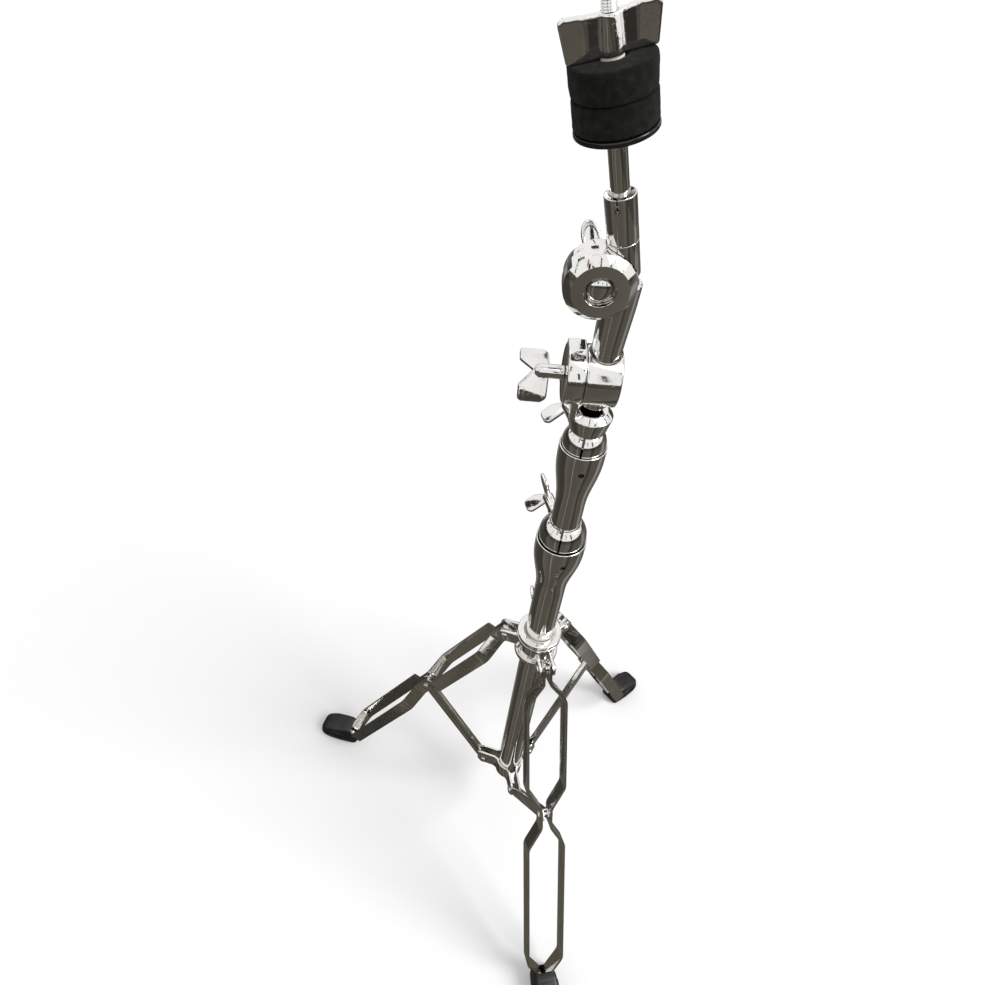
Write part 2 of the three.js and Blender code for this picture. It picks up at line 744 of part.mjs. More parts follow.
// One leg with its strut, rivet and foot
function addLeg(stand, name, angle) {
  const out = radial(angle);
  const side = lateral(angle);
  const lean = rad(legLean);
  const down = out.clone().multiplyScalar(Math.sin(lean)).addScaledVector(up, -Math.cos(lean));
  const top = out.clone().multiplyScalar(legPivotRadius).setZ(legPivotHeight);
  const brace = top.clone().addScaledVector(down, legBraceReach);
  const end = top.clone().addScaledVector(down, legLength);

  const leg = new THREE.Group();
  leg.applyMatrix4(place(top, new THREE.Vector3().crossVectors(down, side), down));
  stand.add(leg);
  addPiece(leg, `${name}_leg_strip_a`, legStrip(1), chrome);
  addPiece(leg, `${name}_leg_strip_b`, legStrip(-1), chrome);
  const grip = strutWidth / 2 + seatGap + stripThickness;
  addPiece(stand, `${name}_brace_rivet`, rivet(grip, place(brace, side, up)), chrome);

  const strutFoot = out.clone().multiplyScalar(strutPivotRadius).setZ(strutPivotHeight);
  const run = brace.clone().sub(strutFoot);
  const length = run.length();
  const half = strutWidth / 2;
  const web = strutHeight / 2 - strutWall;
  const channel = [
    [-half, -strutHeight / 2],
    [-half + strutWall, -strutHeight / 2],
    [-half + strutWall, web],
    [half - strutWall, web],
    [half - strutWall, -strutHeight / 2],
    [half, -strutHeight / 2],
    [half, strutHeight / 2],
    [-half, strutHeight / 2],
  ];
  let strut = plate(channel, -strutEnd, length + strutEnd, place(strutFoot, run, side));
  for (const pivot of [strutFoot, brace]) {
    const hole = place(pivot, side, up);
    strut = strut.subtract(cylinder(rivetRadius + pinGap, -strutWidth, strutWidth, pinSides, hole));
  }
  addPiece(stand, `${name}_strut`, strut, chrome);

  const footGroup = new THREE.Group();
  footGroup.applyMatrix4(place(end.clone().setZ(-floorDrop), up, out));
  stand.add(footGroup);
  const local = footGroup.matrix.clone().invert();
  const stripPlace = place(end, new THREE.Vector3().crossVectors(down, side), down);
  addPiece(footGroup, `${name}_foot`, foot(local.multiply(stripPlace)), blackRubber);
}

// Mid tube with its bush, clamp ring and bolt
function addMidTube(stand) {
  addPiece(stand, 'mid_tube', belledTube(midBell, midRimHeight - midLength), chrome);
  addPiece(stand, 'mid_bush', bellLiner(midBell), nylon);
  addPiece(stand, 'mid_clamp_ring', clampRing(midBell), chrome);
  const bolt = bellBolt(midBell);
  addPiece(stand, 'mid_wing_bolt', bolt, chrome);
}

// Lower tilter, in its own frame: X along the tilter's axis, Z up, from the axis
const alongX = new THREE.Vector3(1, 0, 0);
const alongY = new THREE.Vector3(0, 1, 0);
const socketTop = -socketTopDrop;
const socketFoot = socketTop - socketHeight;

function tilterBase() {
  const bore = upperOuter / 2 + seatGap;
  const left = -seamOffset - fixedDrumThickness;
  const drum = cylinder(drumRadius, left, -seamOffset, drumSides, place(origin, alongX, up));
  const corner = box([left, 0, 0], [-seamOffset, fixedDrumBack, drumRadius]);
  const webHalf = socketTopRadius * socketWebShare;
  const web = box([-socketTopRadius + seatGap, -webHalf, socketTop - socketRoof / 2],
    [-seamOffset, webHalf, 0]);
  const socket = turned([
    [0, socketTop - socketRoof],
    [bore, socketTop - socketRoof],
    [bore, socketFoot],
    [socketFootRadius, socketFoot],
    [socketTopRadius, socketTop - socketRoof / 3],
    [socketTopRadius - socketRoof / 3, socketTop],
    [0, socketTop],
  ], tubeSides);
  const hole = cylinder(wingShankRadius + pinGap, left - overrun, 0, pinSides, place(origin, alongX, up));
  return socket.add(web).add(drum).add(corner).subtract(hole);
}

// The turning half of the lower tilter, in the boom's frame: Z up the boom
function boomDrum() {
  const left = seatGap - seamOffset - boomOffset;
  const bore = boomOuter / 2 + 2 * seatGap + linerWall + seatGap;
  const turn = place(origin, alongX, up);
  return cylinder(drumRadius, left, left + boomDrumWidth, drumSides, turn)
    .subtract(cylinder(bore, -drumRadius - overrun, drumRadius + overrun, tubeSides))
    .subtract(cylinder(wingShankRadius + pinGap, left - overrun, 0, pinSides, turn));
}

function addLowerTilter(stand) {
  const tilter = new THREE.Group();
  tilter.position.z = tilterHeight;
  tilter.rotation.z = rad(tilterTurn);
  stand.add(tilter);
  const bore = upperOuter / 2 - tubeWall;
  const top = tilterHeight + socketTop - socketRoof - seatGap;
  const upperTube = turnedRing([
    [bore, top - upperLength],
    [upperOuter / 2, top - upperLength],
    [upperOuter / 2, top],
    [bore, top],
  ], tubeSides);
  addPiece(stand, 'upper_tube', upperTube, chrome);
  addPiece(tilter, 'tilter_base', tilterBase(), chrome);
  const tip = seamOffset - seatGap;
  const head = seamOffset + fixedDrumThickness + seatGap;
  const openSide = alongY.clone().negate().applyAxisAngle(alongX, rad(tilterWingTurn));
  const boltPlace = place(alongX.clone().multiplyScalar(-tip), alongX.clone().negate(), openSide);
  addPiece(tilter, 'tilter_wing_bolt', wingBolt(head - tip, wingDepth, boltPlace), chrome);
  return tilter;
}

// Boom tube and the front half of the upper tilter
const armFrameOffset = -headSideOffset;

function boomHead() {
  const turn = place(origin, alongY.clone().negate(), up);
  const drum = turnedRing([
    [boltRadius + pinGap, seatGap],
    [headRadius, seatGap],
    [headRadius, headThickness - (headRadius - headFaceRadius)],
    [headFaceRadius, headThickness],
    [headRecessRadius, headThickness],
    [headRecessRadius, headThickness - headRecessDepth],
    [boltRadius + pinGap, headThickness - headRecessDepth],
  ], drumSides, turn);
  const axis = new THREE.Matrix4().makeTranslation(headSideOffset, 0, 0);
  const foot = neckFoot - boomReach;
  const spigot = boomOuter / 2 - tubeWall - seatGap;
  const neck = turned([
    [0, foot - neckSpigot],
    [spigot, foot - neckSpigot],
    [spigot, foot],
    [neckFootRadius, foot],
    [neckRadius, -headThickness],
    [neckRadius, 0],
    [0, 0],
  ], tubeSides, axis)
    .subtract(cylinder(headRadius + seatGap, -headThickness * 2, seatGap, drumSides, turn));
  const shaft = cylinder(boltRadius + pinGap, -overrun, headThickness + overrun, pinSides, turn);
  const recess = cylinder(headRecessRadius, headThickness - headRecessDepth,
    headThickness + overrun, drumSides, turn);
  return drum.add(neck).subtract(shaft).subtract(recess);
}

// The back half of the upper tilter, which carries the short tube
function tilterArm() {
  const turn = place(origin, alongY, up);
  const drum = turnedRing([
    [boltRadius + pinGap, seatGap],
    [armDrumRadius, seatGap],
    [armDrumRadius, armDrumThickness - armBevel],
    [armDrumRadius - armBevel, armDrumThickness],
    [boltRadius + pinGap, armDrumThickness],
  ], drumSides, turn);
  const axis = new THREE.Matrix4().makeTranslation(headSideOffset, 0, 0);
  const neck = turned([
    [0, 0],
    [shortOuter / 2, 0],
    [shortOuter / 2, shortSeam],
    [spigotRadius, shortSeam],
    [spigotRadius, shortSeam + spigotHeight],
    [0, shortSeam + spigotHeight],
  ], tubeSides, axis)
    .subtract(cylinder(headRadius + seatGap, -headThickness * 2, seatGap, drumSides, turn));
  const shaft = cylinder(boltRadius + pinGap, -overrun, armDrumThickness + overrun, pinSides, turn);
  return drum.add(neck).subtract(shaft);
}

function tilterBolt() {
  const seat = headThickness - headRecessDepth + seatGap;
  return turned([
    [0, -boltTail],
    [boltRadius, -boltTail],
    [boltRadius, seat],
    ...boltHeadShares.map(([out, rise]) => [boltHeadRadius * out, seat + boltHeadHeight * rise]),
  ], drumSides / 2, place(origin, alongY.clone().negate(), up));
}

// A wing nut with two open ears that lean back, along local Z from its face
function earNut(matrix) {
  let body = turned([
    [0, 0],
    [earNutHubRadius, 0],
    [earNutHubRadius * earNutHubTipShare, earNutHubLength],
    [0, earNutHubLength],
  ], pinSides);
  const lastStep = fullTurn / (earNutSteps + 1);
  const oval = (share) => arc([0, 0], earNutLength, 0, fullTurn - lastStep, earNutSteps)
    .map(([x, y]) => [earNutOut + x * share, (y * share * earNutWidth) / earNutLength]);
  const half = earNutThickness / 2;
  const root = new THREE.Vector3(0, 0, earNutHubLength / 2);
  for (const side of [1, -1]) {
    const run = new THREE.Vector3(side * Math.cos(rad(earNutSplay)), 0, Math.sin(rad(earNutSplay)));
    const flat = place(root, new THREE.Vector3().crossVectors(run, alongY), run);
    const ear = plate(oval(1), -half, half, flat)
      .subtract(plate(oval(earNutOpeningShare), -earNutThickness, earNutThickness, flat));
    body = body.add(ear);
  }
  return body
    .subtract(cylinder(boltRadius + pinGap, -overrun, earNutHubLength * 2, pinSides))
    .transform(matrix.elements);
}

function addBoom(tilter) {
  const boom = new THREE.Group();
  boom.position.x = boomOffset;
  boom.rotation.x = rad(boomLean);
  tilter.add(boom);
  addPiece(boom, 'boom_drum', boomDrum(), chrome);
  const linerInner = boomOuter / 2 + 2 * seatGap;
  const linerHalf = Math.sqrt(drumRadius ** 2 - (linerInner + linerWall) ** 2) - seatGap;
  const liner = turnedRing([
    [linerInner, -linerHalf],
    [linerInner + linerWall, -linerHalf],
    [linerInner + linerWall, linerHalf],
    [linerInner, linerHalf],
  ], tubeSides);
  addPiece(boom, 'boom_bush', liner, nylon);
  const tubeTop = neckFoot - seatGap;
  const tube = turnedRing([
    [boomOuter / 2 - tubeWall, -boomTail],
    [boomOuter / 2, -boomTail],
    [boomOuter / 2, tubeTop],
    [boomOuter / 2 - tubeWall, tubeTop],
  ], tubeSides);
  addPiece(boom, 'boom_tube', tube, chrome);

  const turn = new THREE.Group();
  turn.rotation.z = rad(boomTurn);
  boom.add(turn);
  const head = new THREE.Group();
  head.position.set(armFrameOffset, 0, boomReach);
  turn.add(head);
  addPiece(head, 'boom_head', boomHead(), chrome);
  addPiece(head, 'upper_tilter_bolt', tilterBolt(), chrome);
  return head;
}

// Short tube with its funnel mouth, slit and small hole
function shortTube() {
  const socket = spigotRadius + seatGap;
  const foot = shortSeam + seatGap;
  const step = shortSeam + spigotHeight + 2 * seatGap;
  const outer = shortOuter / 2;
  const slitFoot = shortRim - shortSlitDepth;
  const hole = place(new THREE.Vector3(0, 0, slitFoot), radial(shortSlitAngle), up);
  const slitPlace = place(origin, up, radial(shortSlitAngle));
  const slit = shortSlitWidth / 2;
  return turnedRing([
    [socket, foot],
    [outer, foot],
    [outer, shortRim],
    [shortFunnelRadius, shortRim],
    [shortBoreRadius, shortRim - shortFunnelDepth],
    [shortBoreRadius, step],
    [socket, step],
  ], tubeSides)
    .subtract(cylinder(shortHoleRadius, 0, outer + overrun, pinSides, hole))
    .subtract(box([0, -slit, slitFoot], [outer + overrun, slit, shortRim + overrun], slitPlace));
}

function cymbalRod() {
  const foot = shortSeam + spigotHeight + 3 * seatGap;
  const shoulder = cupFoot - seatGap;
  return turned([
    [0, foot],
    [rodRadius, foot],
    [rodRadius, shoulder],
    [threadRadius, shoulder],
    [threadRadius, rodTip],
    [0, rodTip],
  ], tubeSides);
}

const cupTop = cupFoot + cupHubHeight + cupRim;
const lowerFeltFoot = cupTop + seatGap;
const upperFeltFoot = lowerFeltFoot + feltHeight + seatGap;
const wingNutFoot = upperFeltFoot + feltHeight + seatGap;

function seatCup() {
  const disc = cupFoot + cupHubHeight;
  return turnedRing([
    [threadRadius + pinGap, cupFoot],
    [cupHubRadius, cupFoot],
    [cupHubRadius, disc],
    [cupRadius - cupEdge, disc],
    [cupRadius, disc + cupEdge],
    [cupRadius, cupTop - cupEdge],
    [cupRadius - cupEdge, cupTop],
    [threadRadius + pinGap, cupTop],
  ], drumSides);
}

function felt(foot) {
  const top = foot + feltHeight;
  const bore = sleeveRadius + slideGap;
  return turnedRing([
    [bore, foot],
    [feltRadius - feltEdge, foot],
    [feltRadius, foot + feltEdge],
    [feltRadius, top - feltEdge],
    [feltRadius - feltEdge, top],
    [bore, top],
  ], drumSides);
}

// The large wing nut: a tapered hub and two wings that sway opposite ways
function cymbalWingNut() {
  const top = wingNutFoot + wingNutHeight;
  const halfSway = wingNutSway * wingNutSwayShare;
  const sway = [
    [-wingNutSpan - overrun, -wingNutSway],
    [-wingNutSpan / 2, -halfSway],
    [-wingNutHubTopRadius / 2, 0],
    [wingNutHubTopRadius / 2, 0],
    [wingNutSpan / 2, halfSway],
    [wingNutSpan + overrun, wingNutSway],
  ];
  const face = [
    [-wingNutFootSpan, wingNutFoot],
    [wingNutFootSpan, wingNutFoot],
    [wingNutSpan, top - wingCorner],
    [wingNutSpan - wingCorner, top],
    [wingNutHubRadius, top - wingNutSway],
    [-wingNutHubRadius, top - wingNutSway],
    [-wingNutSpan + wingCorner, top],
    [-wingNutSpan, top - wingCorner],
  ];
  const upright = place(origin, alongY.clone().negate(), alongX);
  const wings = plate(ribbon(sway, wingNutThickness), wingNutFoot - overrun, top + overrun)
    .intersect(plate(face, -wingNutSpan, wingNutSpan, upright));
  const hub = turned([
    [0, wingNutFoot],
    [wingNutHubRadius, wingNutFoot],
    [wingNutHubTopRadius, top - wingNutSway / 2],
    [0, top - wingNutSway / 2],
  ], tubeSides);
  const bore = cylinder(threadRadius + pinGap, wingNutFoot - overrun, top + overrun, pinSides);
  return wings.add(hub).subtract(bore);
}

function addArm(head) {
  const arm = new THREE.Group();
  arm.rotation.y = -rad(armTilt);
  head.add(arm);
  addPiece(arm, 'tilter_arm', tilterArm(), chrome);
  const nutFace = alongY.clone().multiplyScalar(armDrumThickness + seatGap);
  const earWay = up.clone().applyAxisAngle(alongY, rad(earNutTurn));
  addPiece(arm, 'upper_wing_nut', earNut(place(nutFace, alongY, earWay)), chrome);

  const seat = new THREE.Group();
  seat.position.x = headSideOffset;
  arm.add(seat);
  addPiece(seat, 'short_tube', shortTube(), chrome);
  addPiece(seat, 'cymbal_rod', cymbalRod(), chrome);
  addPiece(seat, 'seat_cup', seatCup(), blackPlastic);
  const sleeve = turnedRing([
    [threadRadius + pinGap, cupTop + seatGap],
    [sleeveRadius, cupTop + seatGap],
    [sleeveRadius, wingNutFoot - seatGap],
    [threadRadius + pinGap, wingNutFoot - seatGap],
  ], tubeSides);
  addPiece(seat, 'cymbal_sleeve', sleeve, nylon);
  addPiece(seat, 'lower_felt', felt(lowerFeltFoot), blackFelt);
  addPiece(seat, 'upper_felt', felt(upperFeltFoot), blackFelt);
  addPiece(seat, 'cymbal_wing_nut', cymbalWingNut(), chrome);
}

const stand = new THREE.Group();
addBase(stand);
addLowerCollar(stand);
addLegCollar(stand);
for (const [name, angle] of Object.entries(legAngles)) addLeg(stand, name, angle);
addMidTube(stand);
const tilter = addLowerTilter(stand);
const head = addBoom(tilter);
addArm(head);

export default stand;
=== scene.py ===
# %% [markdown]
# # A chromed cymbal boom stand
# A double-braced tripod carries a base tube, a mid tube and an upper tube that slide in each
# other. On top sit two tilters with a short boom between them, and a rod with a felted seat.
# The frame of solids gives every place and size. Each piece here is made again, finer, on top of
# its solid, and moves with the same body. Sizes in the cells are in millimetres, as a maker
# writes them, and `mm` turns them into Blender's metres.

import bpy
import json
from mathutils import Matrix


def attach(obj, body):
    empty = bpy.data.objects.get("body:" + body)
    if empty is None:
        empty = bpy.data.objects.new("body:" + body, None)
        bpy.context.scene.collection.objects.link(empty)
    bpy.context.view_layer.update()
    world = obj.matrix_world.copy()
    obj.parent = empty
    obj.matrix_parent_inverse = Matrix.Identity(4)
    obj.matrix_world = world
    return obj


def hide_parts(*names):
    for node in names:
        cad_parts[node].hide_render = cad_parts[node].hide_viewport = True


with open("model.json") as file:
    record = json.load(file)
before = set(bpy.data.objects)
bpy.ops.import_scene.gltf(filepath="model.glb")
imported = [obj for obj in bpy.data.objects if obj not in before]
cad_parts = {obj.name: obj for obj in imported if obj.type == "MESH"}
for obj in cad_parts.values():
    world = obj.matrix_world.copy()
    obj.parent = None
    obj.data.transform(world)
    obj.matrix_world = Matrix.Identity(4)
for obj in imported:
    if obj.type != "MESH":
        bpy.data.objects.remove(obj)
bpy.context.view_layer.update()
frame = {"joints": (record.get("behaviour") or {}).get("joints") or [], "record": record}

# %% [markdown]
# ## Where things are
# A place is a matrix: an origin, a Z way and an X way. The tilters' axes and the rod's line come
# from the joints of the frame, so a piece modelled upright at the origin can be laid on them.

# %% Places from the joints
import json
import math
from types import SimpleNamespace

import bpy
from mathutils import Matrix, Vector, noise

mm = 0.001
joints = {joint["name"]: joint for joint in frame["joints"]}
body_of_node = {
    node: body for body, nodes in frame["record"]["behaviour"]["bodies"].items() for node in nodes
}
UP = Vector((0, 0, 1))


def place(origin, z_way, x_way):
    z = Vector(z_way).normalized()
    x = Vector(x_way)
    x = (x - z * x.dot(z)).normalized()
    y = z.cross(x)
    turned_axes = Matrix((x, y, z)).transposed().to_4x4()
    return Matrix.Translation(Vector(origin)) @ turned_axes


def radial(angle):
    return Vector((math.cos(math.radians(angle)), math.sin(math.radians(angle)), 0))


leg_ways = {}
for side in ("front", "right", "left"):
    way = Vector(joints[side + "_strut_fold"]["axis"])
    leg_ways[side] = Vector((-way.y, way.x, 0))
tilter_axis = Vector(joints["boom_tilt"]["axis"])
tilter_at = Vector(joints["boom_tilt"]["pos_m"])
boom_way = Vector(joints["boom_slide"]["axis"])
boom_at = Vector(joints["boom_turn"]["pos_m"])
head_axis = Vector(joints["arm_tilt"]["axis"])
head_at = Vector(joints["arm_tilt"]["pos_m"])
rod_way = Vector(joints["upper_felt_lift"]["axis"])
rod_at = Vector(joints["cymbal_nut_turn"]["pos_m"])

tilter_place = place(tilter_at, UP, tilter_axis)
boom_place = place(boom_at, boom_way, tilter_axis)
head_place = place(head_at, boom_way, tilter_axis)
arm_place = place(head_at, rod_way, head_axis.cross(rod_way))
rod_place = place(rod_at, rod_way, head_axis.cross(rod_way))
print("legs point", {side: [round(v, 2) for v in way[:2]] for side, way in leg_ways.items()})

# %% [markdown]
# ## The camera
# The photograph looks down from above the stand's top with a wide lens, so the feet look small.
# The lens, the place and the tilt were worked out from the tubes, the rivets and the feet.
# A lens length is the sensor's width times the focal length in pixels over the picture's width.

# %% Camera
picture_width = 984
focal_pixels = 708.149
camera_at = Vector((-184.30, -377.00, 925.32)) * mm
yaw, pitch, roll = (math.radians(v) for v in (17.112, -45.236, 6.868))

ahead = Vector(
    (math.sin(yaw) * math.cos(pitch), math.cos(yaw) * math.cos(pitch), math.sin(pitch))
)
level_right = Vector((math.cos(yaw), -math.sin(yaw), 0))
level_up = level_right.cross(ahead)
right = level_right * math.cos(roll) + level_up * math.sin(roll)
upward = level_up * math.cos(roll) - level_right * math.sin(roll)

lens_data = bpy.data.cameras.new("view")
camera = bpy.data.objects.new("view", lens_data)
bpy.context.scene.collection.objects.link(camera)
camera.matrix_world = place(camera_at, -ahead, right)
lens_data.sensor_fit = "HORIZONTAL"
lens_data.sensor_width = 36
lens_data.lens = lens_data.sensor_width * focal_pixels / picture_width
lens_data.clip_start = 0.01
bpy.context.scene.camera = camera
bpy.context.scene.view_settings.view_transform = "Standard"
print("lens", round(lens_data.lens, 2), "mm")

# %% [markdown]
# ## Rounded outlines
# Cast and turned parts have no knife edges. An outline here is a list of points, and a point may
# carry a third number, the radius that rounds it. One helper swaps such a corner for an arc.


# %% Round the corners of an outline
def softened(outline, closed=False, steps=5):
    points = []
    count = len(outline)
    for i, corner in enumerate(outline):
        here = Vector(corner[:2])
        radius = corner[2] if len(corner) > 2 else 0
        inner = closed or 0 < i < count - 1
        if not radius or not inner:
            points.append(here)
            continue
        before = Vector(outline[i - 1][:2]) - here
        after = Vector(outline[(i + 1) % count][:2]) - here
        opening = before.angle(after)
        reach = min(radius / math.tan(opening / 2), before.length * 0.49, after.length * 0.49)
        first = here + before.normalized() * reach
        last = here + after.normalized() * reach
        for k in range(steps + 1):
            t = k / steps
            points.append(first * (1 - t) ** 2 + here * 2 * t * (1 - t) + last * t**2)
    return points


# %% [markdown]
# ## Selecting and settling
# An operator works on all that is selected, so each step starts by selecting nothing. When a
# piece is done, its place is applied into its mesh, its edges are smoothed by angle, and it is
# tied to the body of the solid that it stands for.


# %% Small helpers
def mode(name):
    bpy.ops.object.mode_set(mode=name)


def select_only(piece):
    if bpy.context.object and bpy.context.object.mode != "OBJECT":
        mode("OBJECT")
    bpy.ops.object.select_all(action="DESELECT")
    if piece:
        piece.select_set(True)
        bpy.context.view_layer.objects.active = piece


def pick(piece, test):
    """Selects the vertices that pass a test, and goes into edit mode."""
    select_only(piece)
    mode("EDIT")
    bpy.ops.mesh.select_mode(type="VERT")
    bpy.ops.mesh.select_all(action="DESELECT")
    mode("OBJECT")
    for vertex in filter(test, piece.data.vertices):
        vertex.select = True
    mode("EDIT")


def lay(piece, where):
    """Moves a piece to its place and applies the place into its mesh."""
    select_only(piece)
    piece.matrix_world = where @ piece.matrix_world
    bpy.ops.object.transform_apply(location=True, rotation=True, scale=True)
    return piece


def scaled(*scale):
    """Scales the piece that was just added, and applies the scale."""
    piece = bpy.context.object
    piece.scale = scale
    bpy.ops.object.transform_apply(location=False, rotation=False, scale=True)
    return piece


def use(piece, kind, **settings):
    """Adds a modifier with its settings and applies it."""
    select_only(piece)
    modifier = piece.modifiers.new(kind.lower(), kind)
    for name, value in settings.items():
        setattr(modifier, name, value)
    bpy.ops.object.modifier_apply(modifier=modifier.name)
    return piece


def ease(piece, width, segments=2, angle=35):
    """Breaks the sharp edges with a narrow bevel."""
    settings = {"width": width * mm, "segments": segments, "angle_limit": math.radians(angle)}
    return use(piece, "BEVEL", limit_method="ANGLE", **settings)


def cut(piece, tool, operation="DIFFERENCE"):
    """Cuts one closed piece with another, or joins them, and throws the tool away."""
    use(piece, "BOOLEAN", object=tool, operation=operation, solver="EXACT")
    bpy.data.objects.remove(tool)
    return piece


def together(first, *others):
    select_only(first)
    for other in others:
        other.select_set(True)
    bpy.ops.object.join()
    return first


def darken(piece, test):
    """Marks the vertices inside a bore, which the chrome then paints near-black as painted shade."""
    bore_shade = piece.data.attributes.new("bore_shade", "FLOAT", "POINT")
    for vertex in piece.data.vertices:
        bore_shade.data[vertex.index].value = float(test(vertex.co / mm))
    return piece


def settle(piece, node, finish, angle=38):
    """Names a piece, gives it its finish and ties it to its solid's body."""
    material, slot = finish
    select_only(piece)
    bpy.ops.object.shade_smooth_by_angle(angle=math.radians(angle))
    piece.name = node + "_piece"
    piece.data.materials.clear()
    piece.data.materials.append(material)
    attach(piece, body_of_node[node])
    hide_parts(node)
    return piece


# %% [markdown]
# ## Turning, bending and plating
# Three ways make nearly every part of a stand. A lathe turns tubes, rings, rivets and drums: a
# profile is drawn point by point by extruding one vertex, and Spin takes it round. A brake bends
# strip steel: one edge is extruded along the bends, and Solidify gives it its thickness. Plates
# are an outline, filled and extruded. A drill is a turned rod that is cut away.


# %% A single point
def drawn(points):
    """A line drawn from point to point by extruding one vertex, left in edit mode."""
    select_only(None)
    bpy.ops.mesh.primitive_plane_add(size=mm)
    piece = bpy.context.object
    mode("EDIT")
    bpy.ops.mesh.select_mode(type="VERT")
    bpy.ops.mesh.select_all(action="SELECT")
    bpy.ops.mesh.merge(type="CENTER")
    bpy.ops.transform.translate(value=points[0])
    for here, there in zip(points, points[1:]):
        bpy.ops.mesh.extrude_vertices_move(TRANSFORM_OT_translate={"value": there - here})
    return piece


def outward(piece):
    """Turns all faces outwards and leaves edit mode."""
    bpy.ops.mesh.select_all(action="SELECT")
    bpy.ops.mesh.normals_make_consistent(inside=False)
    mode("OBJECT")
    return piece


# %% A lathe
def turned(outline, around=72, ring=False, steps=5):
    points = softened(outline, closed=ring, steps=steps)
    piece = drawn([Vector((radius, 0, height)) * mm for radius, height in points])
    if ring:
        last = len(points) - 1
        pick(piece, lambda vertex: vertex.index in (0, last))
        bpy.ops.mesh.edge_face_add()
    bpy.ops.mesh.select_all(action="SELECT")
    bpy.ops.mesh.spin(steps=around, angle=math.tau, center=(0, 0, 0), axis=(0, 0, 1))
    bpy.ops.mesh.select_all(action="SELECT")
    bpy.ops.mesh.remove_doubles(threshold=2e-6)
    return outward(piece)


def rod(radius, low, high, around=48, soft=0):
    outline = [(0, low), (radius, low, soft), (radius, high, soft), (0, high)]
    return turned(outline, around=around, steps=3)


def drill(piece, radius, low, high, where, around=32):
    return cut(piece, lay(rod(radius, low, high, around=around), where))


# %% A brake for strip steel
def bent_strip(line, low, high, thickness, corner=0):
    points = softened(line, steps=6)
    piece = drawn([Vector((*points[0], low)) * mm])
    bpy.ops.mesh.extrude_vertices_move(
        TRANSFORM_OT_translate={"value": (0, 0, (high - low) * mm)}
    )
    bpy.ops.mesh.select_all(action="SELECT")
    for here, there in zip(points, points[1:]):
        step = Vector((*(there - here), 0)) * mm
        bpy.ops.mesh.extrude_edges_move(TRANSFORM_OT_translate={"value": step})
    if corner:
        mode("OBJECT")
        last = len(piece.data.vertices) - 1
        pick(piece, lambda vertex: vertex.index in (0, 1, last - 1, last))
        bpy.ops.mesh.bevel(offset=corner * mm, segments=6, affect="VERTICES")
    mode("OBJECT")
    use(piece, "SOLIDIFY", thickness=thickness * mm, offset=0, use_even_offset=True)
    select_only(piece)
    mode("EDIT")
    return outward(piece)


# %% Plates
def plate(outline, low, high):
    points = softened(outline, closed=True)
    piece = drawn([Vector((*point, low)) * mm for point in points])
    bpy.ops.mesh.select_all(action="SELECT")
    bpy.ops.mesh.edge_face_add()
    bpy.ops.mesh.extrude_region_move(
        TRANSFORM_OT_translate={"value": (0, 0, (high - low) * mm)}
    )
    return outward(piece)


# %% [markdown]
# ## Finishes
# Polished chrome is a mirror, so what it shows is mostly the room. What makes it a used part are
# fine scratches that run every way, smudges that dull it in patches, and a faint waviness of the
# plating. Scratches and smudges are a node group, so tubes, castings and strip steel can share it
# with their own amounts. Rubber, felt, plastic and nylon share one recipe with a fine grain.


# %% Groups for shared effects
def add_node(tree, kind, *values, **named):
    """Adds a shader node and fills its inputs, in order or by name, from values or sockets."""
    node = tree.nodes.new("ShaderNode" + kind)
    filled = list(zip(node.inputs, values))
    filled += [(node.inputs[name.replace("_", " ")], value) for name, value in named.items()]
    for socket, value in filled:
        if isinstance(value, bpy.types.NodeSocket):
            tree.links.new(value, socket)
        else:
            socket.default_value = value
    return node


def figure(tree, operation, *values):
    node = add_node(tree, "Math", *values)
    node.operation = operation
    return node.outputs[0]


def grain(tree, scale, detail, roughness=0.5, stretch=None):
    """A noise on the piece's own coordinates, which may be stretched along one way."""
    at = add_node(tree, "TexCoord").outputs["Object"]
    if stretch:
        at = add_node(tree, "Mapping", Vector=at, Scale=stretch).outputs["Vector"]
    amounts = {"Scale": scale, "Detail": detail, "Roughness": roughness}
    return add_node(tree, "TexNoise", Vector=at, **amounts).outputs["Fac"]


def spread(tree, value, low, high, to_low=0, to_high=1):
    """Stretches a mask from one range to another and holds it there."""
    ends = {"From_Min": low, "From_Max": high, "To_Min": to_low, "To_Max": to_high}
    return add_node(tree, "MapRange", Value=value, **ends).outputs["Result"]


def blend_colours(tree, mask, first, second):
    node = tree.nodes.new("ShaderNodeMix")
    node.data_type = "RGBA"
    sockets = [s for s in node.inputs if s.name in ("A", "B") and s.type == "RGBA"]
    for socket, colour in zip(sockets, (first, second)):
        if isinstance(colour, tuple):
            socket.default_value = (*colour, 1)
        else:
            tree.links.new(colour, socket)
    tree.links.new(mask, node.inputs["Factor"])
    return [s for s in node.outputs if s.type == "RGBA"][0]


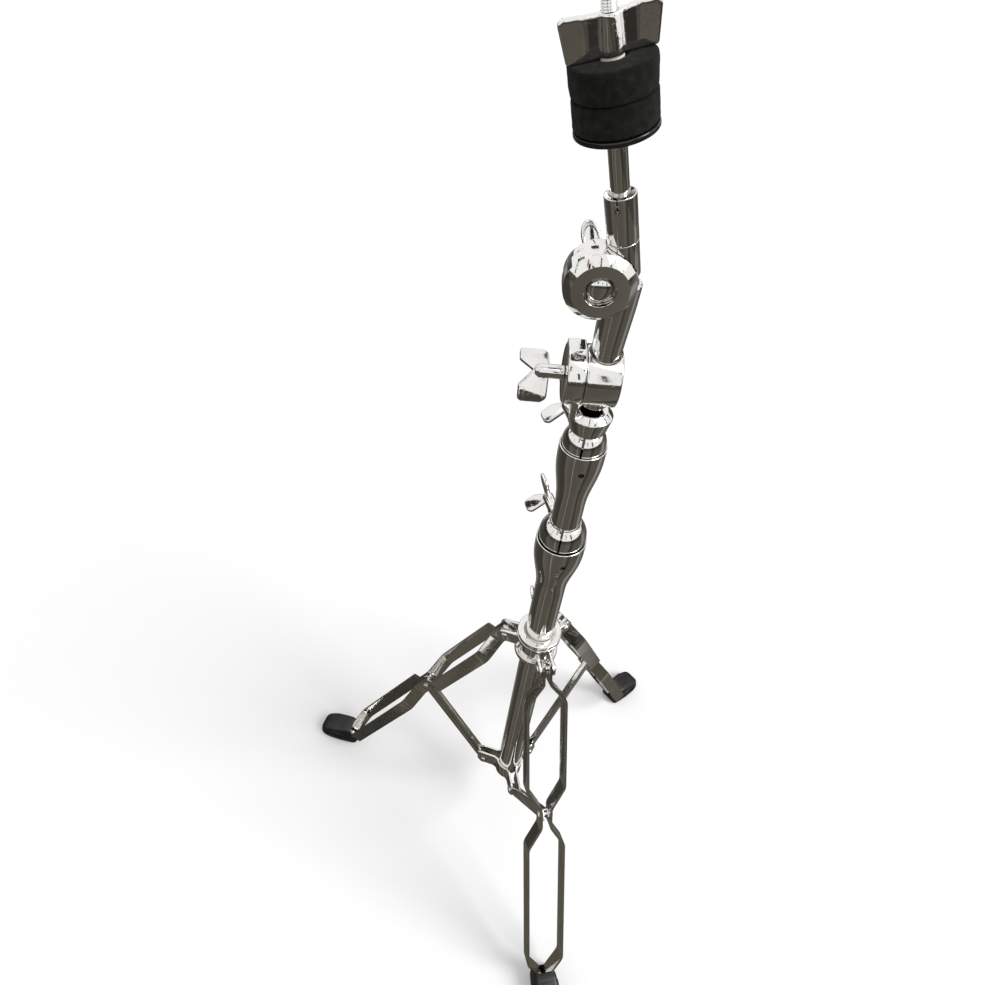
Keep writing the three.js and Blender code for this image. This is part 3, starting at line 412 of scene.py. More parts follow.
# %% Wear of polished plating
wear = bpy.data.node_groups.new("plating wear", "ShaderNodeTree")
for label in ("Smudge", "Scratch"):
    wear.interface.new_socket(label, in_out="INPUT", socket_type="NodeSocketFloat")
for label in ("Roughness", "Height", "Mask"):
    wear.interface.new_socket(label, in_out="OUTPUT", socket_type="NodeSocketFloat")
amounts = wear.nodes.new("NodeGroupInput").outputs
patches = spread(wear, grain(wear, 38, 4, 0.6), 0.48, 0.72)
streaks = spread(wear, grain(wear, 900, 2, stretch=(1, 0.06, 1)), 0.62, 0.72)
cross_streaks = spread(wear, grain(wear, 1100, 2, stretch=(0.05, 1, 0.7)), 0.63, 0.73)
scratches = figure(wear, "MAXIMUM", streaks, cross_streaks)
smudges = figure(wear, "MULTIPLY", patches, amounts["Smudge"])
dulling = figure(wear, "MULTIPLY_ADD", scratches, amounts["Scratch"], smudges)
results = wear.nodes.new("NodeGroupOutput").inputs
for label, value in (("Roughness", dulling), ("Height", scratches), ("Mask", patches)):
    wear.links.new(value, results[label])
print("group", wear.name, "has", len(wear.nodes), "nodes")


# %% A material with a Principled shader
def new_material(name, **values):
    material = bpy.data.materials.new(name)
    material.use_nodes = True
    shader = material.node_tree.nodes["Principled BSDF"]
    for label, value in values.items():
        shader.inputs[label.replace("_", " ")].default_value = value
    return material, material.node_tree, shader


def raise_bump(tree, shader, height, strength, distance, **under):
    amounts = {"Strength": strength, "Distance": distance}
    bump = add_node(tree, "Bump", Height=height, **amounts, **under)
    tree.links.new(bump.outputs["Normal"], shader.inputs["Normal"])
    return bump


# painted shade: the near-black colour that chrome takes inside bores, standing for the shade there
bore_shade_colour = (0.012, 0.012, 0.011)


def chrome(name, bright, dull, base_roughness, smudge, scratch, bump, ripple):
    material, tree, shader = new_material(name, Metallic=1)
    effect = tree.nodes.new("ShaderNodeGroup")
    effect.node_tree = wear
    effect.inputs["Smudge"].default_value = smudge
    effect.inputs["Scratch"].default_value = scratch
    roughness = figure(tree, "ADD", effect.outputs["Roughness"], base_roughness)
    tree.links.new(roughness, shader.inputs["Roughness"])
    bore_shade = tree.nodes.new("ShaderNodeAttribute")
    bore_shade.attribute_name = "bore_shade"
    colour = blend_colours(tree, effect.outputs["Mask"], bright, dull)
    # painted shade: vertices marked inside a bore turn near-black
    colour = blend_colours(tree, bore_shade.outputs["Fac"], colour, bore_shade_colour)
    tree.links.new(colour, shader.inputs["Base Color"])
    waves = raise_bump(tree, shader, grain(tree, ripple, 2, 0.4), 0.5, 0.00012)
    lines = effect.outputs["Height"]
    raise_bump(tree, shader, lines, bump, 0.00004, Normal=waves.outputs["Normal"])
    return material, "chrome"


bright, dull = (0.84, 0.83, 0.81), (0.74, 0.73, 0.7)
tube_chrome = chrome("tube chrome", bright, dull, 0.04, 0.05, 0.05, 0.2, 60)
cast_chrome = chrome("cast chrome", bright, dull, 0.05, 0.07, 0.06, 0.3, 110)
bright, dull = (0.78, 0.77, 0.74), (0.6, 0.58, 0.54)
strip_chrome = chrome("strip chrome", bright, dull, 0.08, 0.12, 0.14, 0.6, 170)
print("chromes", [finish[0].name for finish in (tube_chrome, cast_chrome, strip_chrome)])


# %% [markdown]
# Rubber is nearly black, dull, and a little grey where dust and the mould have left it. Felt is
# pressed wool: short fibres every way, lighter where they stand up. The cup is glossy moulded
# plastic. The bushes in the bells are black nylon, and the other bushes are off-white.


# %% Rubber, felt, plastic and nylon
def rubbed(name, slot, dark, pale, roughness, fine, coarse, bump, sheen=0.0):
    material, tree, shader = new_material(name, Sheen_Weight=sheen, Sheen_Roughness=0.4)
    specks = grain(tree, fine, 5, 0.7)
    mask = spread(tree, figure(tree, "MULTIPLY", specks, grain(tree, coarse, 3)), 0.2, 0.4)
    tree.links.new(blend_colours(tree, mask, dark, pale), shader.inputs["Base Color"])
    rough = spread(tree, specks, 0.3, 0.7, roughness * 0.85, min(1, roughness * 1.15))
    tree.links.new(rough, shader.inputs["Roughness"])
    raise_bump(tree, shader, specks, bump, 0.0004)
    return material, slot


rubber = rubbed(
    "black rubber", "black_rubber", (0.007, 0.007, 0.0065), (0.022, 0.022, 0.02), 0.42, 1500, 60, 0.25
)
felt = rubbed(
    "black felt", "black_felt", (0.006, 0.006, 0.0045), (0.015, 0.0145, 0.011), 1.0, 1500, 220, 1.0, 0.03
)
felt[0].node_tree.nodes["Principled BSDF"].inputs["Specular IOR Level"].default_value = 0.12
black, less_black = (0.006,) * 3, (0.01,) * 3
plastic = rubbed("glossy plastic", "black_plastic", black, less_black, 0.14, 900, 30, 0.03)
black_nylon = rubbed("dark nylon", "nylon", (0.012,) * 3, (0.02,) * 3, 0.6, 900, 30, 0.03)
nylon = rubbed("pale nylon", "nylon", (0.62, 0.6, 0.53), (0.75, 0.73, 0.66), 0.45, 1200, 40, 0.1)
print("soft finishes", [finish[0].name for finish in (rubber, felt, plastic, nylon, black_nylon)])

# %% [markdown]
# ## Telescoping tubes
# The base and mid tubes are swaged: each swells at its top into a bell that houses a clamp ring.
# The swell is a half wave. A small hole is punched low in each bell, and each rim is rounded by
# the polishing, which gives it its thin bright line.

# %% Belled tubes
wall = 1.2
# rim's height, tube's radius, bell's radius, length of the swell and of the straight above it
base_bell = (462.6, 14.3, 22.25, 56, 12.6)
mid_bell = (571.6, 12.7, 18.65, 52, 11.6)
hole_drop = 16.4


def swell(bell, height):
    """The outer radius of a belled tube at a height."""
    rim, radius, wide, flare, straight = bell
    share = min(max((height - (rim - straight - flare)) / flare, 0), 1)
    return radius + (wide - radius) * (1 - math.cos(math.pi * share)) / 2


def belled_tube(bell, foot, hole_angle):
    rim, radius, wide, flare, straight = bell
    outside = [(radius, foot, 0.4)]
    for i in range(21):
        height = rim - straight - flare + flare * i / 20
        outside.append((swell(bell, height), height))
    outside.append((wide, rim, 0.5))
    inside = [(r - wall, z, *soft) for r, z, *soft in reversed(outside)]
    piece = turned(outside + inside, around=96, ring=True, steps=4)
    drill(piece, 2.4, 0, wide + 6, place(UP * (rim - hole_drop) * mm, radial(hole_angle), UP))
    ease(piece, 0.25, angle=50)

    # painted shade: the tube's inside below the bell's rim is marked for the near-black shade colour
    def is_bore(v):
        return v.z < rim - 6 and math.hypot(v.x, v.y) < swell(bell, v.z) - 0.35

    return darken(piece, is_bore)


base_tube = belled_tube(base_bell, 3.3, -96)
settle(base_tube, "base_tube", tube_chrome)
settle(belled_tube(mid_bell, 74.6, -104), "mid_tube", tube_chrome)
print("base tube has", len(base_tube.data.polygons), "faces")

# %% Plain tubes
upper_line = [(9.9, 120.2), (11.1, 120.2, 0.4), (11.1, 600.2, 0.4), (9.9, 600.2)]
upper_tube = turned(upper_line, around=96, ring=True)
settle(upper_tube, "upper_tube", tube_chrome)
boom_tube = turned([(9.1, -24), (10.3, -24, 0.4), (10.3, 24.7), (9.1, 24.7)], ring=True)
settle(lay(boom_tube, boom_place), "boom_tube", tube_chrome)

# %% [markdown]
# The rubber plug closes the base tube's lower end, above the floor. It has a flange that the tube
# stands on and a spigot inside it.

# %% Plug
plug = turned([(0, 0), (14.3, 0, 1), (14.3, 3, 0.5), (12.8, 3), (12.8, 18, 1), (0, 18)])
settle(plug, "base_plug", rubber)

# %% [markdown]
# ## Clamp rings
# A ball-shaped split ring sits in each bell. The wing bolt in its boss pulls it tight on the tube
# that passes through. The ball is turned, the boss joined to it, and then the bore, the slit and
# the bolt's hole are cut.


# %% Clamp rings
bolt_hole = 3.3
bolt_angle = 93


def clamp_ring(bell, rise, bore, boss_rise, boss_reach):
    rim, ball = bell[0], bell[2] - 1.45
    centre = rim + rise
    foot = rim - 9
    low = math.asin((foot - centre) / ball)
    high = math.acos((bore + 0.8) / ball)
    outline = [(bore, foot)]
    for i in range(29):
        angle = low + (high - low) * i / 28
        outline.append((ball * math.cos(angle), centre + ball * math.sin(angle)))
    outline.append((bore, centre + ball * math.sin(high) - 0.3))
    piece = turned(outline, around=96, ring=True)
    boss_place = place(UP * (rim + boss_rise) * mm, radial(bolt_angle), UP)
    boss = rod(5.5, bore + 1.5, boss_reach, soft=0.8)
    cut(piece, lay(boss, boss_place), "UNION")
    drill(piece, bolt_hole, 0, boss_reach + 3, boss_place)
    slot = plate([(0, -0.9), (ball + 3, -0.9), (ball + 3, 0.9), (0, 0.9)], foot - 3, centre + ball)
    cut(piece, lay(slot, place((0, 0, 0), UP, radial(-116))))
    return ease(piece, 0.35, segments=3, angle=45)


base_ring = clamp_ring(base_bell, 5.9, 13.1, 8.4, 27)
mid_ring = clamp_ring(mid_bell, 3, 11.5, 6.4, 25)
settle(base_ring, "base_clamp_ring", cast_chrome)
settle(mid_ring, "mid_clamp_ring", cast_chrome)

# %% [markdown]
# ## Wing bolts
# Four bolts are the same casting: a threaded shank, a barrel, and two flat wings that lean
# together to a V so that a thumb and finger can turn them. A wing is a rounded plate with softened
# edges. The shank carries a real thread: rings close together read as one from arm's length.


# %% Wing bolts
thread_pitch = 1.25
wing_turn = 57


def wing_bolt(shank, depth, where):
    barrel_top = shank + 10
    outline = [(0, 0), (2.3, 0), (3, 0.8)]
    for i in range(int((shank - 1.6) / thread_pitch)):
        foot = 0.8 + i * thread_pitch
        outline += [(3, foot + 0.3), (2.55, foot + 0.9)]
    outline += [(3, shank - 0.2), (5, shank, 0.6), (5, barrel_top + depth * 0.35, 1.2)]
    outline += [(2.8, barrel_top + depth * 0.5, 1.5), (0, barrel_top + depth * 0.5)]
    barrel = turned(outline, around=40, steps=4)
    top = barrel_top + depth
    wings = []
    for turn in (wing_turn, -wing_turn):
        shape = [(0, barrel_top), (20, barrel_top, 4), (23, barrel_top + 4, 4)]
        shape += [(23, top, 4), (11, top, 3), (0, barrel_top + depth * 0.55)]
        wing = ease(plate(shape, -1.7, 1.7), 1.3, segments=5, angle=50)
        run = radial(turn)
        wings.append(lay(wing, place((0, 0, 0), run.cross(UP), run)))
    return lay(together(barrel, *wings), where)


def clamp_bolt(height, angle, tube_radius, reach, opening):
    out = radial(angle)
    tip = tube_radius + 0.4
    open_side = Matrix.Rotation(math.radians(opening), 3, out) @ UP.cross(out)
    where = place(out * tip * mm + UP * height * mm, out, open_side)
    return wing_bolt(reach + 0.3 - tip, 15, where)


collar_height, collar_bolt_angle = 300, 78
settle(clamp_bolt(471, bolt_angle, 12.7, 27, 18), "base_wing_bolt", cast_chrome)
settle(clamp_bolt(578, bolt_angle, 11.1, 25, 18), "mid_wing_bolt", cast_chrome)
collar_bolt = clamp_bolt(collar_height, collar_bolt_angle, 14.3, 29, 130)
settle(collar_bolt, "collar_wing_bolt", cast_chrome)
tilter_open = Matrix.Rotation(math.radians(126), 3, "X") @ Vector((0, -1, 0))
tilter_bolt_place = tilter_place @ place(Vector((-11.9, 0, 0)) * mm, (-1, 0, 0), tilter_open)
settle(wing_bolt(13.6, 21, tilter_bolt_place), "tilter_wing_bolt", cast_chrome)

# %% [markdown]
# ## Rivets
# Every pivot of the tripod is a rivet with a low domed head on both sides. It is turned once for
# each grip length.


# %% Rivets
rivet_hole = 2.9
pivot_radius = 34
pivot_drop = 2
brace_reach, foot_reach = 180.6, 413.4
lean = math.radians(28)
legs = {}
for side, out in leg_ways.items():
    across = UP.cross(out)
    down = out * math.sin(lean) - UP * math.cos(lean)
    top = (out * pivot_radius + UP * collar_height) * mm
    legs[side] = SimpleNamespace(
        out=out,
        across=across,
        top=top,
        brace=top + down * brace_reach * mm,
        end=top + down * foot_reach * mm,
        low=(out * pivot_radius - UP * pivot_drop) * mm,
        along=(down.cross(across), down),
    )


def rivet(half_grip, centre, along):
    head = half_grip + 0.3
    dome = [(2.6, head), (4.7, head, 0.3), (4.6, head + 0.6), (4.1, head + 1.1)]
    dome += [(3.2, head + 1.45), (1.8, head + 1.65), (0, head + 1.7)]
    outline = [(r, -z, *s) for r, z, *s in reversed(dome)] + dome
    return lay(turned(outline, around=40, steps=3), place(centre, along, UP))


for side, leg in legs.items():
    settle(rivet(8.4, leg.top, leg.across), side + "_collar_rivet", cast_chrome)
    settle(rivet(6.8, leg.brace, leg.across), side + "_brace_rivet", cast_chrome)
    settle(rivet(6.0, leg.low, leg.across), side + "_lower_rivet", cast_chrome)

# %% [markdown]
# ## Legs
# A leg is two mirrored strips of flat steel, bent to two long loops that touch at the brace. Each
# strip is bent from one edge, its holes are punched, and the upper hole is a slot, because the
# collar's rivet slides in it while the legs fold.


# %% Leg strips
def leg_strip(side):
    at_loop, at_top, at_brace, at_foot = 20.25, 3.5, 5.3, 2.5
    bend = 14
    line = [(-8, at_top), (15.5, at_top, 8), (37, at_loop, bend), (145, at_loop, bend)]
    line += [(171, at_brace, bend), (194, at_brace, bend), (220, at_loop, bend)]
    line += [(387.4, at_loop, bend), (foot_reach, at_foot, bend), (foot_reach + 7, at_foot)]
    piece = bent_strip([(x, side * y, *s) for x, y, *s in line], -7.75, 7.75, 3, corner=3.5)
    drill(piece, rivet_hole, -30, 30, place(Vector((brace_reach, 0, 0)) * mm, (0, 1, 0), UP))
    slot = [(-2.9, 2.9, 2.4), (-2.9, -2.9, 2.4), (3.55, -5.35, 3), (10, -5.35, 2.8)]
    slot.append((10, 1.9, 2.8))
    cut(piece, lay(plate(slot, -30, 30), place((0, 0, 0), (0, -1, 0), (1, 0, 0))))
    return ease(piece, 0.45, segments=3)


for side, leg in legs.items():
    for letter, way in (("a", 1), ("b", -1)):
        strip = lay(leg_strip(way), place(leg.top, *leg.along))
        settle(strip, f"{side}_leg_strip_{letter}", strip_chrome)

# %% [markdown]
# ## Struts
# A strut is folded from sheet to a channel, open on one side, with round ends where its rivets
# pass. One edge, as long as the strut, is extruded across the web and both flanges, the folds are
# rounded, and Solidify thickens it.


# %% Struts
def strut(length):
    half, deep, end = 3.5, 6.0, 6.5
    line = [(-half + 0.7, -deep), (-half + 0.7, deep - 0.7, 1.2), (half - 0.7, deep - 0.7, 1.2)]
    line.append((half - 0.7, -deep))
    piece = bent_strip(line, -end, length + end, 1.4, corner=4.5)
    for at in (0, length):
        drill(piece, rivet_hole, -12, 12, place(Vector((0, 0, at)) * mm, (1, 0, 0), UP))
    return ease(piece, 0.25)


for side, leg in legs.items():
    run = leg.brace - leg.low
    piece = lay(strut(run.length / mm), place(leg.low, run, leg.across))
    settle(piece, side + "_strut", strip_chrome)

# %% [markdown]
# ## Lower collar
# Three bent plates wrap the base tube, a third each, and stand out as pairs of ears for the
# struts' rivets.

# %% Lower collar plates
angles = {side: math.degrees(math.atan2(way.y, way.x)) for side, way in leg_ways.items()}


def lower_plate(start, end):
    wrap, ear = 15.7, 4.9
    line = []
    for angle, sign in ((start, 1), (end, -1)):
        out, across = radial(angle), UP.cross(radial(angle))
        far, root = out * 42 + across * sign * ear, out * 19 + across * sign * ear
        points = [(far.x, far.y), (root.x, root.y, 3)]
        line.append(points if sign == 1 else points[::-1])
    first = math.degrees(math.asin(ear / wrap)) + 8
    arc = []
    for i in range(13):
        at = radial(start + first + (end - start - 2 * first) * i / 12) * wrap
        arc.append((at.x, at.y))
    piece = bent_strip(line[0] + arc + line[1], -8, 16, 2.2, corner=10)
    for angle in (start, end):
        out = radial(angle)
        at = (out * pivot_radius - UP * pivot_drop) * mm
        drill(piece, rivet_hole, -20, 20, place(at, UP.cross(out), UP))
    return ease(piece, 0.35, segments=3)


spans = {"left": ("left", "front", 360), "front": ("front", "right", 0), "right": ("right", "left", 0)}
for name, (start, end, more) in spans.items():
    piece = lower_plate(angles[start], angles[end] + more)
    settle(piece, "lower_collar_plate_" + name, strip_chrome)

# %% [markdown]
# ## Leg collar
# The casting that slides up the base tube to fold the legs has two turned flanges with a groove,
# a boss for its bolt, and a pair of round ears for each leg. The parts are joined into one body
# and then bored.

# %% Leg collar
outline = [(18.3, 283), (22.5, 283, 1.2), (22.5, 289, 1.2), (18.8, 289, 1), (18.8, 309.5, 1)]
outline += [(22.5, 309.5, 0.8), (22.5, 312.5, 0.6), (20.4, 312.5, 0.4), (20.4, 315.5, 0.4)]
outline += [(22.5, 315.5, 0.6), (22.5, 318.5, 1.2), (16.0, 318.5, 0.6), (16.0, 283, 0.6)]
collar = turned(outline, around=96, ring=True)
ear_shape = [(17, -8), (34, -8)]
for i in range(1, 12):
    angle = math.radians(-90 + 15 * i)
    ear_shape.append((34 + 8 * math.cos(angle), 8 * math.sin(angle)))
ear_shape += [(34, 8), (17, 8)]
for leg in legs.values():
    for low, high in ((5.4, 8.4), (-8.4, -5.4)):
        ear = ease(plate(ear_shape, low, high), 0.6, segments=3, angle=50)
        cut(collar, lay(ear, place(UP * collar_height * mm, -leg.across, leg.out)), "UNION")
    drill(collar, rivet_hole, -20, 20, place(leg.top, leg.across, UP))
bolt_way = place(UP * collar_height * mm, radial(collar_bolt_angle), UP)
cut(collar, lay(rod(6, 17, 29, soft=0.8), bolt_way), "UNION")
drill(collar, bolt_hole, 10, 32, bolt_way)
settle(collar, "leg_collar", cast_chrome)
sleeve = turned([(14.7, 283), (15.7, 283), (15.7, 318.5), (14.7, 318.5)], ring=True)
settle(sleeve, "leg_collar_bush", nylon)

# %% [markdown]
# ## Rubber feet
# A foot is a moulded boot, wide and square at the toe, with a flat sole. A rounded section is
# extruded from heel to toe and scaled at each step, which is how a loft is made by hand. An oval
# panel with a raised rim is moulded in each side, and plain ribs cross the top as a tread.

# %% One foot
sections = [
    # out from the loop's end, height of the under side, height of the top, half width
    (-8.4, 5.2, 13.0, 10.5),
    (-6.6, 1.6, 17.0, 12.8),
    (-4.6, 0.3, 19.8, 14.0),
    (-1.0, 0.0, 23.2, 14.8),
    (3.0, 0.0, 26.6, 15.4),
    (6.0, 0.0, 27.8, 15.8),
    (10.0, 0.0, 27.2, 16.2),
    (18.0, 0.0, 24.8, 16.8),
    (27.0, 0.0, 21.8, 17.0),
    (36.0, 0.0, 18.2, 16.4),
    (42.0, 0.1, 15.2, 15.0),
    (45.4, 0.8, 12.8, 13.0),
    (47.4, 2.2, 10.6, 10.6),
    (48.3, 4.2, 8.6, 8.0),
]
taper = 0.8
sole_height = -0.078  # in metres, the floor under the feet


def along_foot(out, column):
    """A column of the sections, read between the rows."""
    for before, after in zip(sections, sections[1:]):
        if before[0] <= out <= after[0]:
            share = (out - before[0]) / (after[0] - before[0])
            return before[column] + (after[column] - before[column]) * share
    return 0


def boot():
    first = sections[0]
    select_only(None)
    bpy.ops.mesh.primitive_plane_add(size=1)
    piece = bpy.context.object
    mode("EDIT")
    bpy.ops.mesh.bevel(offset=0.17, segments=6, affect="VERTICES")
    bpy.ops.transform.resize(value=(first[2] - first[1], 2 * first[3], 1))
    bpy.ops.transform.resize(value=(mm, mm, mm))
    mode("OBJECT")
    pick(piece, lambda vertex: vertex.co.x > 0)
    bpy.ops.transform.resize(value=(1, taper, 1), center_override=(0, 0, 0))
    mode("OBJECT")
    upright = place((first[0] * mm, 0, (first[1] + first[2]) / 2 * mm), (1, 0, 0), (0, 0, 1))
    lay(piece, upright)
    mode("EDIT")
    bpy.ops.mesh.select_mode(type="FACE")
    bpy.ops.mesh.select_all(action="SELECT")
    for before, after in zip(sections, sections[1:]):
        middle = (after[1] + after[2]) / 2
        step = Vector((after[0] - before[0], 0, middle - (before[1] + before[2]) / 2)) * mm
        bpy.ops.mesh.extrude_region_move(TRANSFORM_OT_translate={"value": step})
        taller = (after[2] - after[1]) / (before[2] - before[1])
        bpy.ops.transform.resize(
            value=(1, after[3] / before[3], taller),
            center_override=(after[0] * mm, 0, middle * mm),
        )
    return outward(piece)


def foot(leg_end):
    """The boot with its pocket, side ovals and tread, with leg_end the strips' place in it."""
    piece = boot()
    pocket = [(7.3, -4.3), (7.3, 4.3), (0.6, 4.3), (-25.4, 22), (-25.4, -22), (0.6, -4.3)]
    cut(piece, lay(plate(pocket, -8.05, 8.05), leg_end))
    slant = math.radians(10)
    ovals = []
    for sign in (1, -1):
        outward_way = Vector((0, sign * math.cos(slant), math.sin(slant)))
        ovals.append(place(Vector((22, sign * 15.3, 10.4)) * mm, outward_way, (1, 0, -0.1)))
        dish = rod(1, -1.6, 8, around=64)
        dish.scale = (11.5, 5.2, 1)
        cut(piece, lay(dish, ovals[-1]))
    ease(piece, 0.7, segments=3, angle=40)
    extras = []
    for oval in ovals:
        select_only(None)
        bpy.ops.mesh.primitive_torus_add(
            major_radius=6 * mm, minor_radius=0.8 * mm, major_segments=64, minor_segments=10
        )
        extras.append(lay(scaled(2.0, 0.93, 1), oval))
    for i in range(7):
        out = 12.5 + i * 4.2
        slope = math.atan2(along_foot(out - 1, 2) - along_foot(out + 1, 2), 2)
        select_only(None)
        bpy.ops.mesh.primitive_cube_add(size=1)
        rib = scaled(1.7 * mm, (2 * taper * along_foot(out, 3) - 9) * mm, 1.6 * mm)
        ease(rib, 0.6, segments=3)
        tilt = Vector((math.cos(slope), 0, -math.sin(slope)))
        at = Vector((out, 0, along_foot(out, 2))) * mm
        extras.append(lay(rib, place(at, tilt.cross(Vector((0, 1, 0))), tilt)))
    return together(piece, *extras)


for side, leg in legs.items():
    foot_place = place(Vector((leg.end.x, leg.end.y, sole_height)), UP, leg.out)
    strips_place = place(leg.end, *leg.along)
    piece = lay(foot(foot_place.inverted() @ strips_place), foot_place)
    settle(piece, side + "_foot", rubber, angle=50)
print("foot has", len(piece.data.polygons), "faces")

# %% [markdown]
# ## Lower tilter
# Two cast drums meet face to face at a seam. The fixed one, squared at its back, stands on a web
# over the socket that holds the upper tube. The other turns with the boom and is bored across.
# The fixed half is drawn from the side and extruded along the tilter's axis. Bevels stand for the
# polished edges, which catch most of the light on the real one.

# %% Fixed half
drum = 21.5
corner_height, corner_out = 17.84, 12
along_axis = place((0, 0, 0), (1, 0, 0), (0, 1, 0))
side_view = [(0, drum), (corner_out, drum, 3)]
first_angle = math.degrees(math.atan2(corner_height, corner_out))
for i in range(60):
    angle = math.radians(first_angle - i * (first_angle + 268) / 60)
    side_view.append((drum * math.cos(angle), drum * math.sin(angle)))
tilter_base = lay(plate(side_view, -25.2, -12.2), along_axis)
drill(tilter_base, bolt_hole, -40, 0, along_axis)
ease(tilter_base, 1.5, segments=4, angle=50)
outline = [(0, -35.5), (11.4, -35.5), (11.4, -47.5, 0.5), (14, -47.5, 0.8), (17, -33.6, 1.2)]
outline += [(12, -28.9, 1.5), (0, -28.2)]
socket = turned(outline)
web = plate([(-11.9, -33), (11.9, -33), (11.9, -8), (-11.9, -8)], -16.7, -12.2)
web = ease(lay(web, along_axis), 1.2, segments=3, angle=50)
cut(tilter_base, cut(web, socket, "UNION"), "UNION")
settle(lay(tilter_base, tilter_place), "tilter_base", cast_chrome)
print("fixed half has", len(tilter_base.data.polygons), "faces")

# %% [markdown]
# The turning half is a short drum with a bore for the boom. A thin nylon sleeve lines the bore.

# %% Turning half
boom_drum = turned([(0, -12.3), (drum, -12.3, 1.6), (drum, 12.3, 1.6), (0, 12.3)], around=96)
lay(boom_drum, along_axis)
cut(boom_drum, rod(11.8, -30, 30, around=72))
drill(boom_drum, bolt_hole, -30, 0, along_axis)
ease(boom_drum, 0.6, segments=4, angle=48)
settle(lay(boom_drum, boom_place), "boom_drum", cast_chrome)
liner = turned([(10.9, -17.8), (11.5, -17.8), (11.5, 17.8), (10.9, 17.8)], ring=True)
settle(lay(liner, boom_place), "boom_bush", nylon)

# %% [markdown]
# ## Upper tilter
# The front half is a thick drum with a broad chamfer, a flat face and a deep recess, where a domed
# bolt head sits. Its neck runs down into the boom tube. It is polished by hand on a belt, which
# leaves the chamfer a little faceted, so it is spun in only thirty-two steps. The back half
# carries the neck of the short tube, and the open-eared nut closes the joint from behind.

# %% Front half
towards = place((0, 0, 0), (0, -1, 0), (0, 0, 1))
away = place((0, 0, 0), (0, 1, 0), (0, 0, 1))
beside = Matrix.Translation(Vector((16.2, 0, 0)) * mm)
neck_scoop = 23.3
bolt_bore = 4.3


def with_neck(half, outline, facing):
    """A half of the tilter joined to its neck, which is scooped clear of the other half."""
    neck = lay(turned(outline), beside)
    drill(neck, neck_scoop, -34, 0.3, facing, around=96)
    return cut(half, neck, "UNION")


outline = [(bolt_bore, 0.3), (23, 0.3, 0.6), (23, 11.5, 0.5), (18, 16.5, 0.3), (10, 16.5, 0.5)]
outline += [(10, 10.5, 0.4), (bolt_bore, 10.5)]
boom_head = lay(turned(outline, around=32, ring=True, steps=3), towards)
outline = [(0, -63.5), (8.8, -63.5, 0.8), (8.8, -51.5), (10.6, -51.5, 0.3), (11.8, -16.5)]
outline += [(11.8, 0, 2.2), (0, 0)]
with_neck(boom_head, outline, towards)
drill(boom_head, 10, 10.5, 24, towards, around=72)
drill(boom_head, bolt_bore, -10, 24, towards)
ease(boom_head, 0.5, segments=3, angle=50)
settle(lay(boom_head, head_place), "boom_head", cast_chrome, angle=10)

# %% Domed bolt
dome = [(0, -27), (3.6, -27), (4, -26.4), (4, 10.8), (8.6, 10.8, 0.4), (8.6, 12.6, 1)]
for i in range(1, 13):
    angle = math.radians(i * 7.5)
    dome.append((8.4 * math.cos(angle), 12.9 + 4.1 * math.sin(angle)))
upper_bolt = lay(turned(dome, around=64, steps=4), towards)
settle(lay(upper_bolt, head_place), "upper_tilter_bolt", cast_chrome)

# %% Back half
outline = [(bolt_bore, 0.3), (21.8, 0.3, 0.5), (21.8, 8, 0.8), (18.8, 11, 0.8), (bolt_bore, 11)]
arm_half = lay(turned(outline, around=96, ring=True), away)
outline = [(0, 0), (9.5, 0, 1.6), (9.5, 23.6, 0.5), (7.2, 23.6), (7.2, 35.6, 0.5), (0, 35.6)]
with_neck(arm_half, outline, away)
drill(arm_half, bolt_bore, -10, 24, away)
ease(arm_half, 0.5, segments=3, angle=50)
settle(lay(arm_half, arm_place), "tilter_arm", cast_chrome)

# %% [markdown]
# ## Open-eared nut
# Each ear is a bar bent to a loop, with a thin web inside. A torus is squeezed to an oval that
# narrows at its root, and the two ears lean back from a tapered hub.


# %% Open-eared nut
def ear_loop(way):
    select_only(None)
    bpy.ops.mesh.primitive_torus_add(
        major_radius=1, minor_radius=0.26, major_segments=64, minor_segments=16
    )
    ear = bpy.context.object
    mode("EDIT")
    bpy.ops.transform.resize(value=(8.7 * mm, 4.99 * mm, 4.9 * mm))
    mode("OBJECT")
    pick(ear, lambda vertex: vertex.co.x < -3 * mm)
    bpy.ops.transform.resize(value=(1, 0.72, 1), center_override=(0, 0, 0))
    mode("OBJECT")
    select_only(None)
    bpy.ops.mesh.primitive_uv_sphere_add(segments=48, ring_count=16, radius=1)
    together(ear, scaled(8.2 * mm, 4.4 * mm, 0.5 * mm))
    lay(ear, Matrix.Translation(Vector((16.5, 0, 0)) * mm))
    rise = math.radians(30)
    run = Vector((way * math.cos(rise), 0, math.sin(rise)))
    return lay(ear, place(Vector((0, 0, 4.5)) * mm, run.cross(Vector((0, 1, 0))), run))


outline = [(bolt_bore, 0, 0.3), (7, 0, 0.6), (6.6, 3, 0.6), (5.25, 9, 1), (bolt_bore, 9, 0.3)]
ear_nut = together(turned(outline, ring=True), ear_loop(1), ear_loop(-1))
ear_way = Matrix.Rotation(math.radians(-8), 3, "Y") @ UP
lay(ear_nut, place(Vector((0, 11.3, 0)) * mm, (0, 1, 0), ear_way))
settle(lay(ear_nut, arm_place), "upper_wing_nut", cast_chrome)

# %% [markdown]
# ## Short tube and rod
# The tube's mouth is bored to a funnel. A fine slit runs down from the rim to a small hole, so that
# the mouth can close on the rod. The rod's end above the cup is threaded, in rings again.

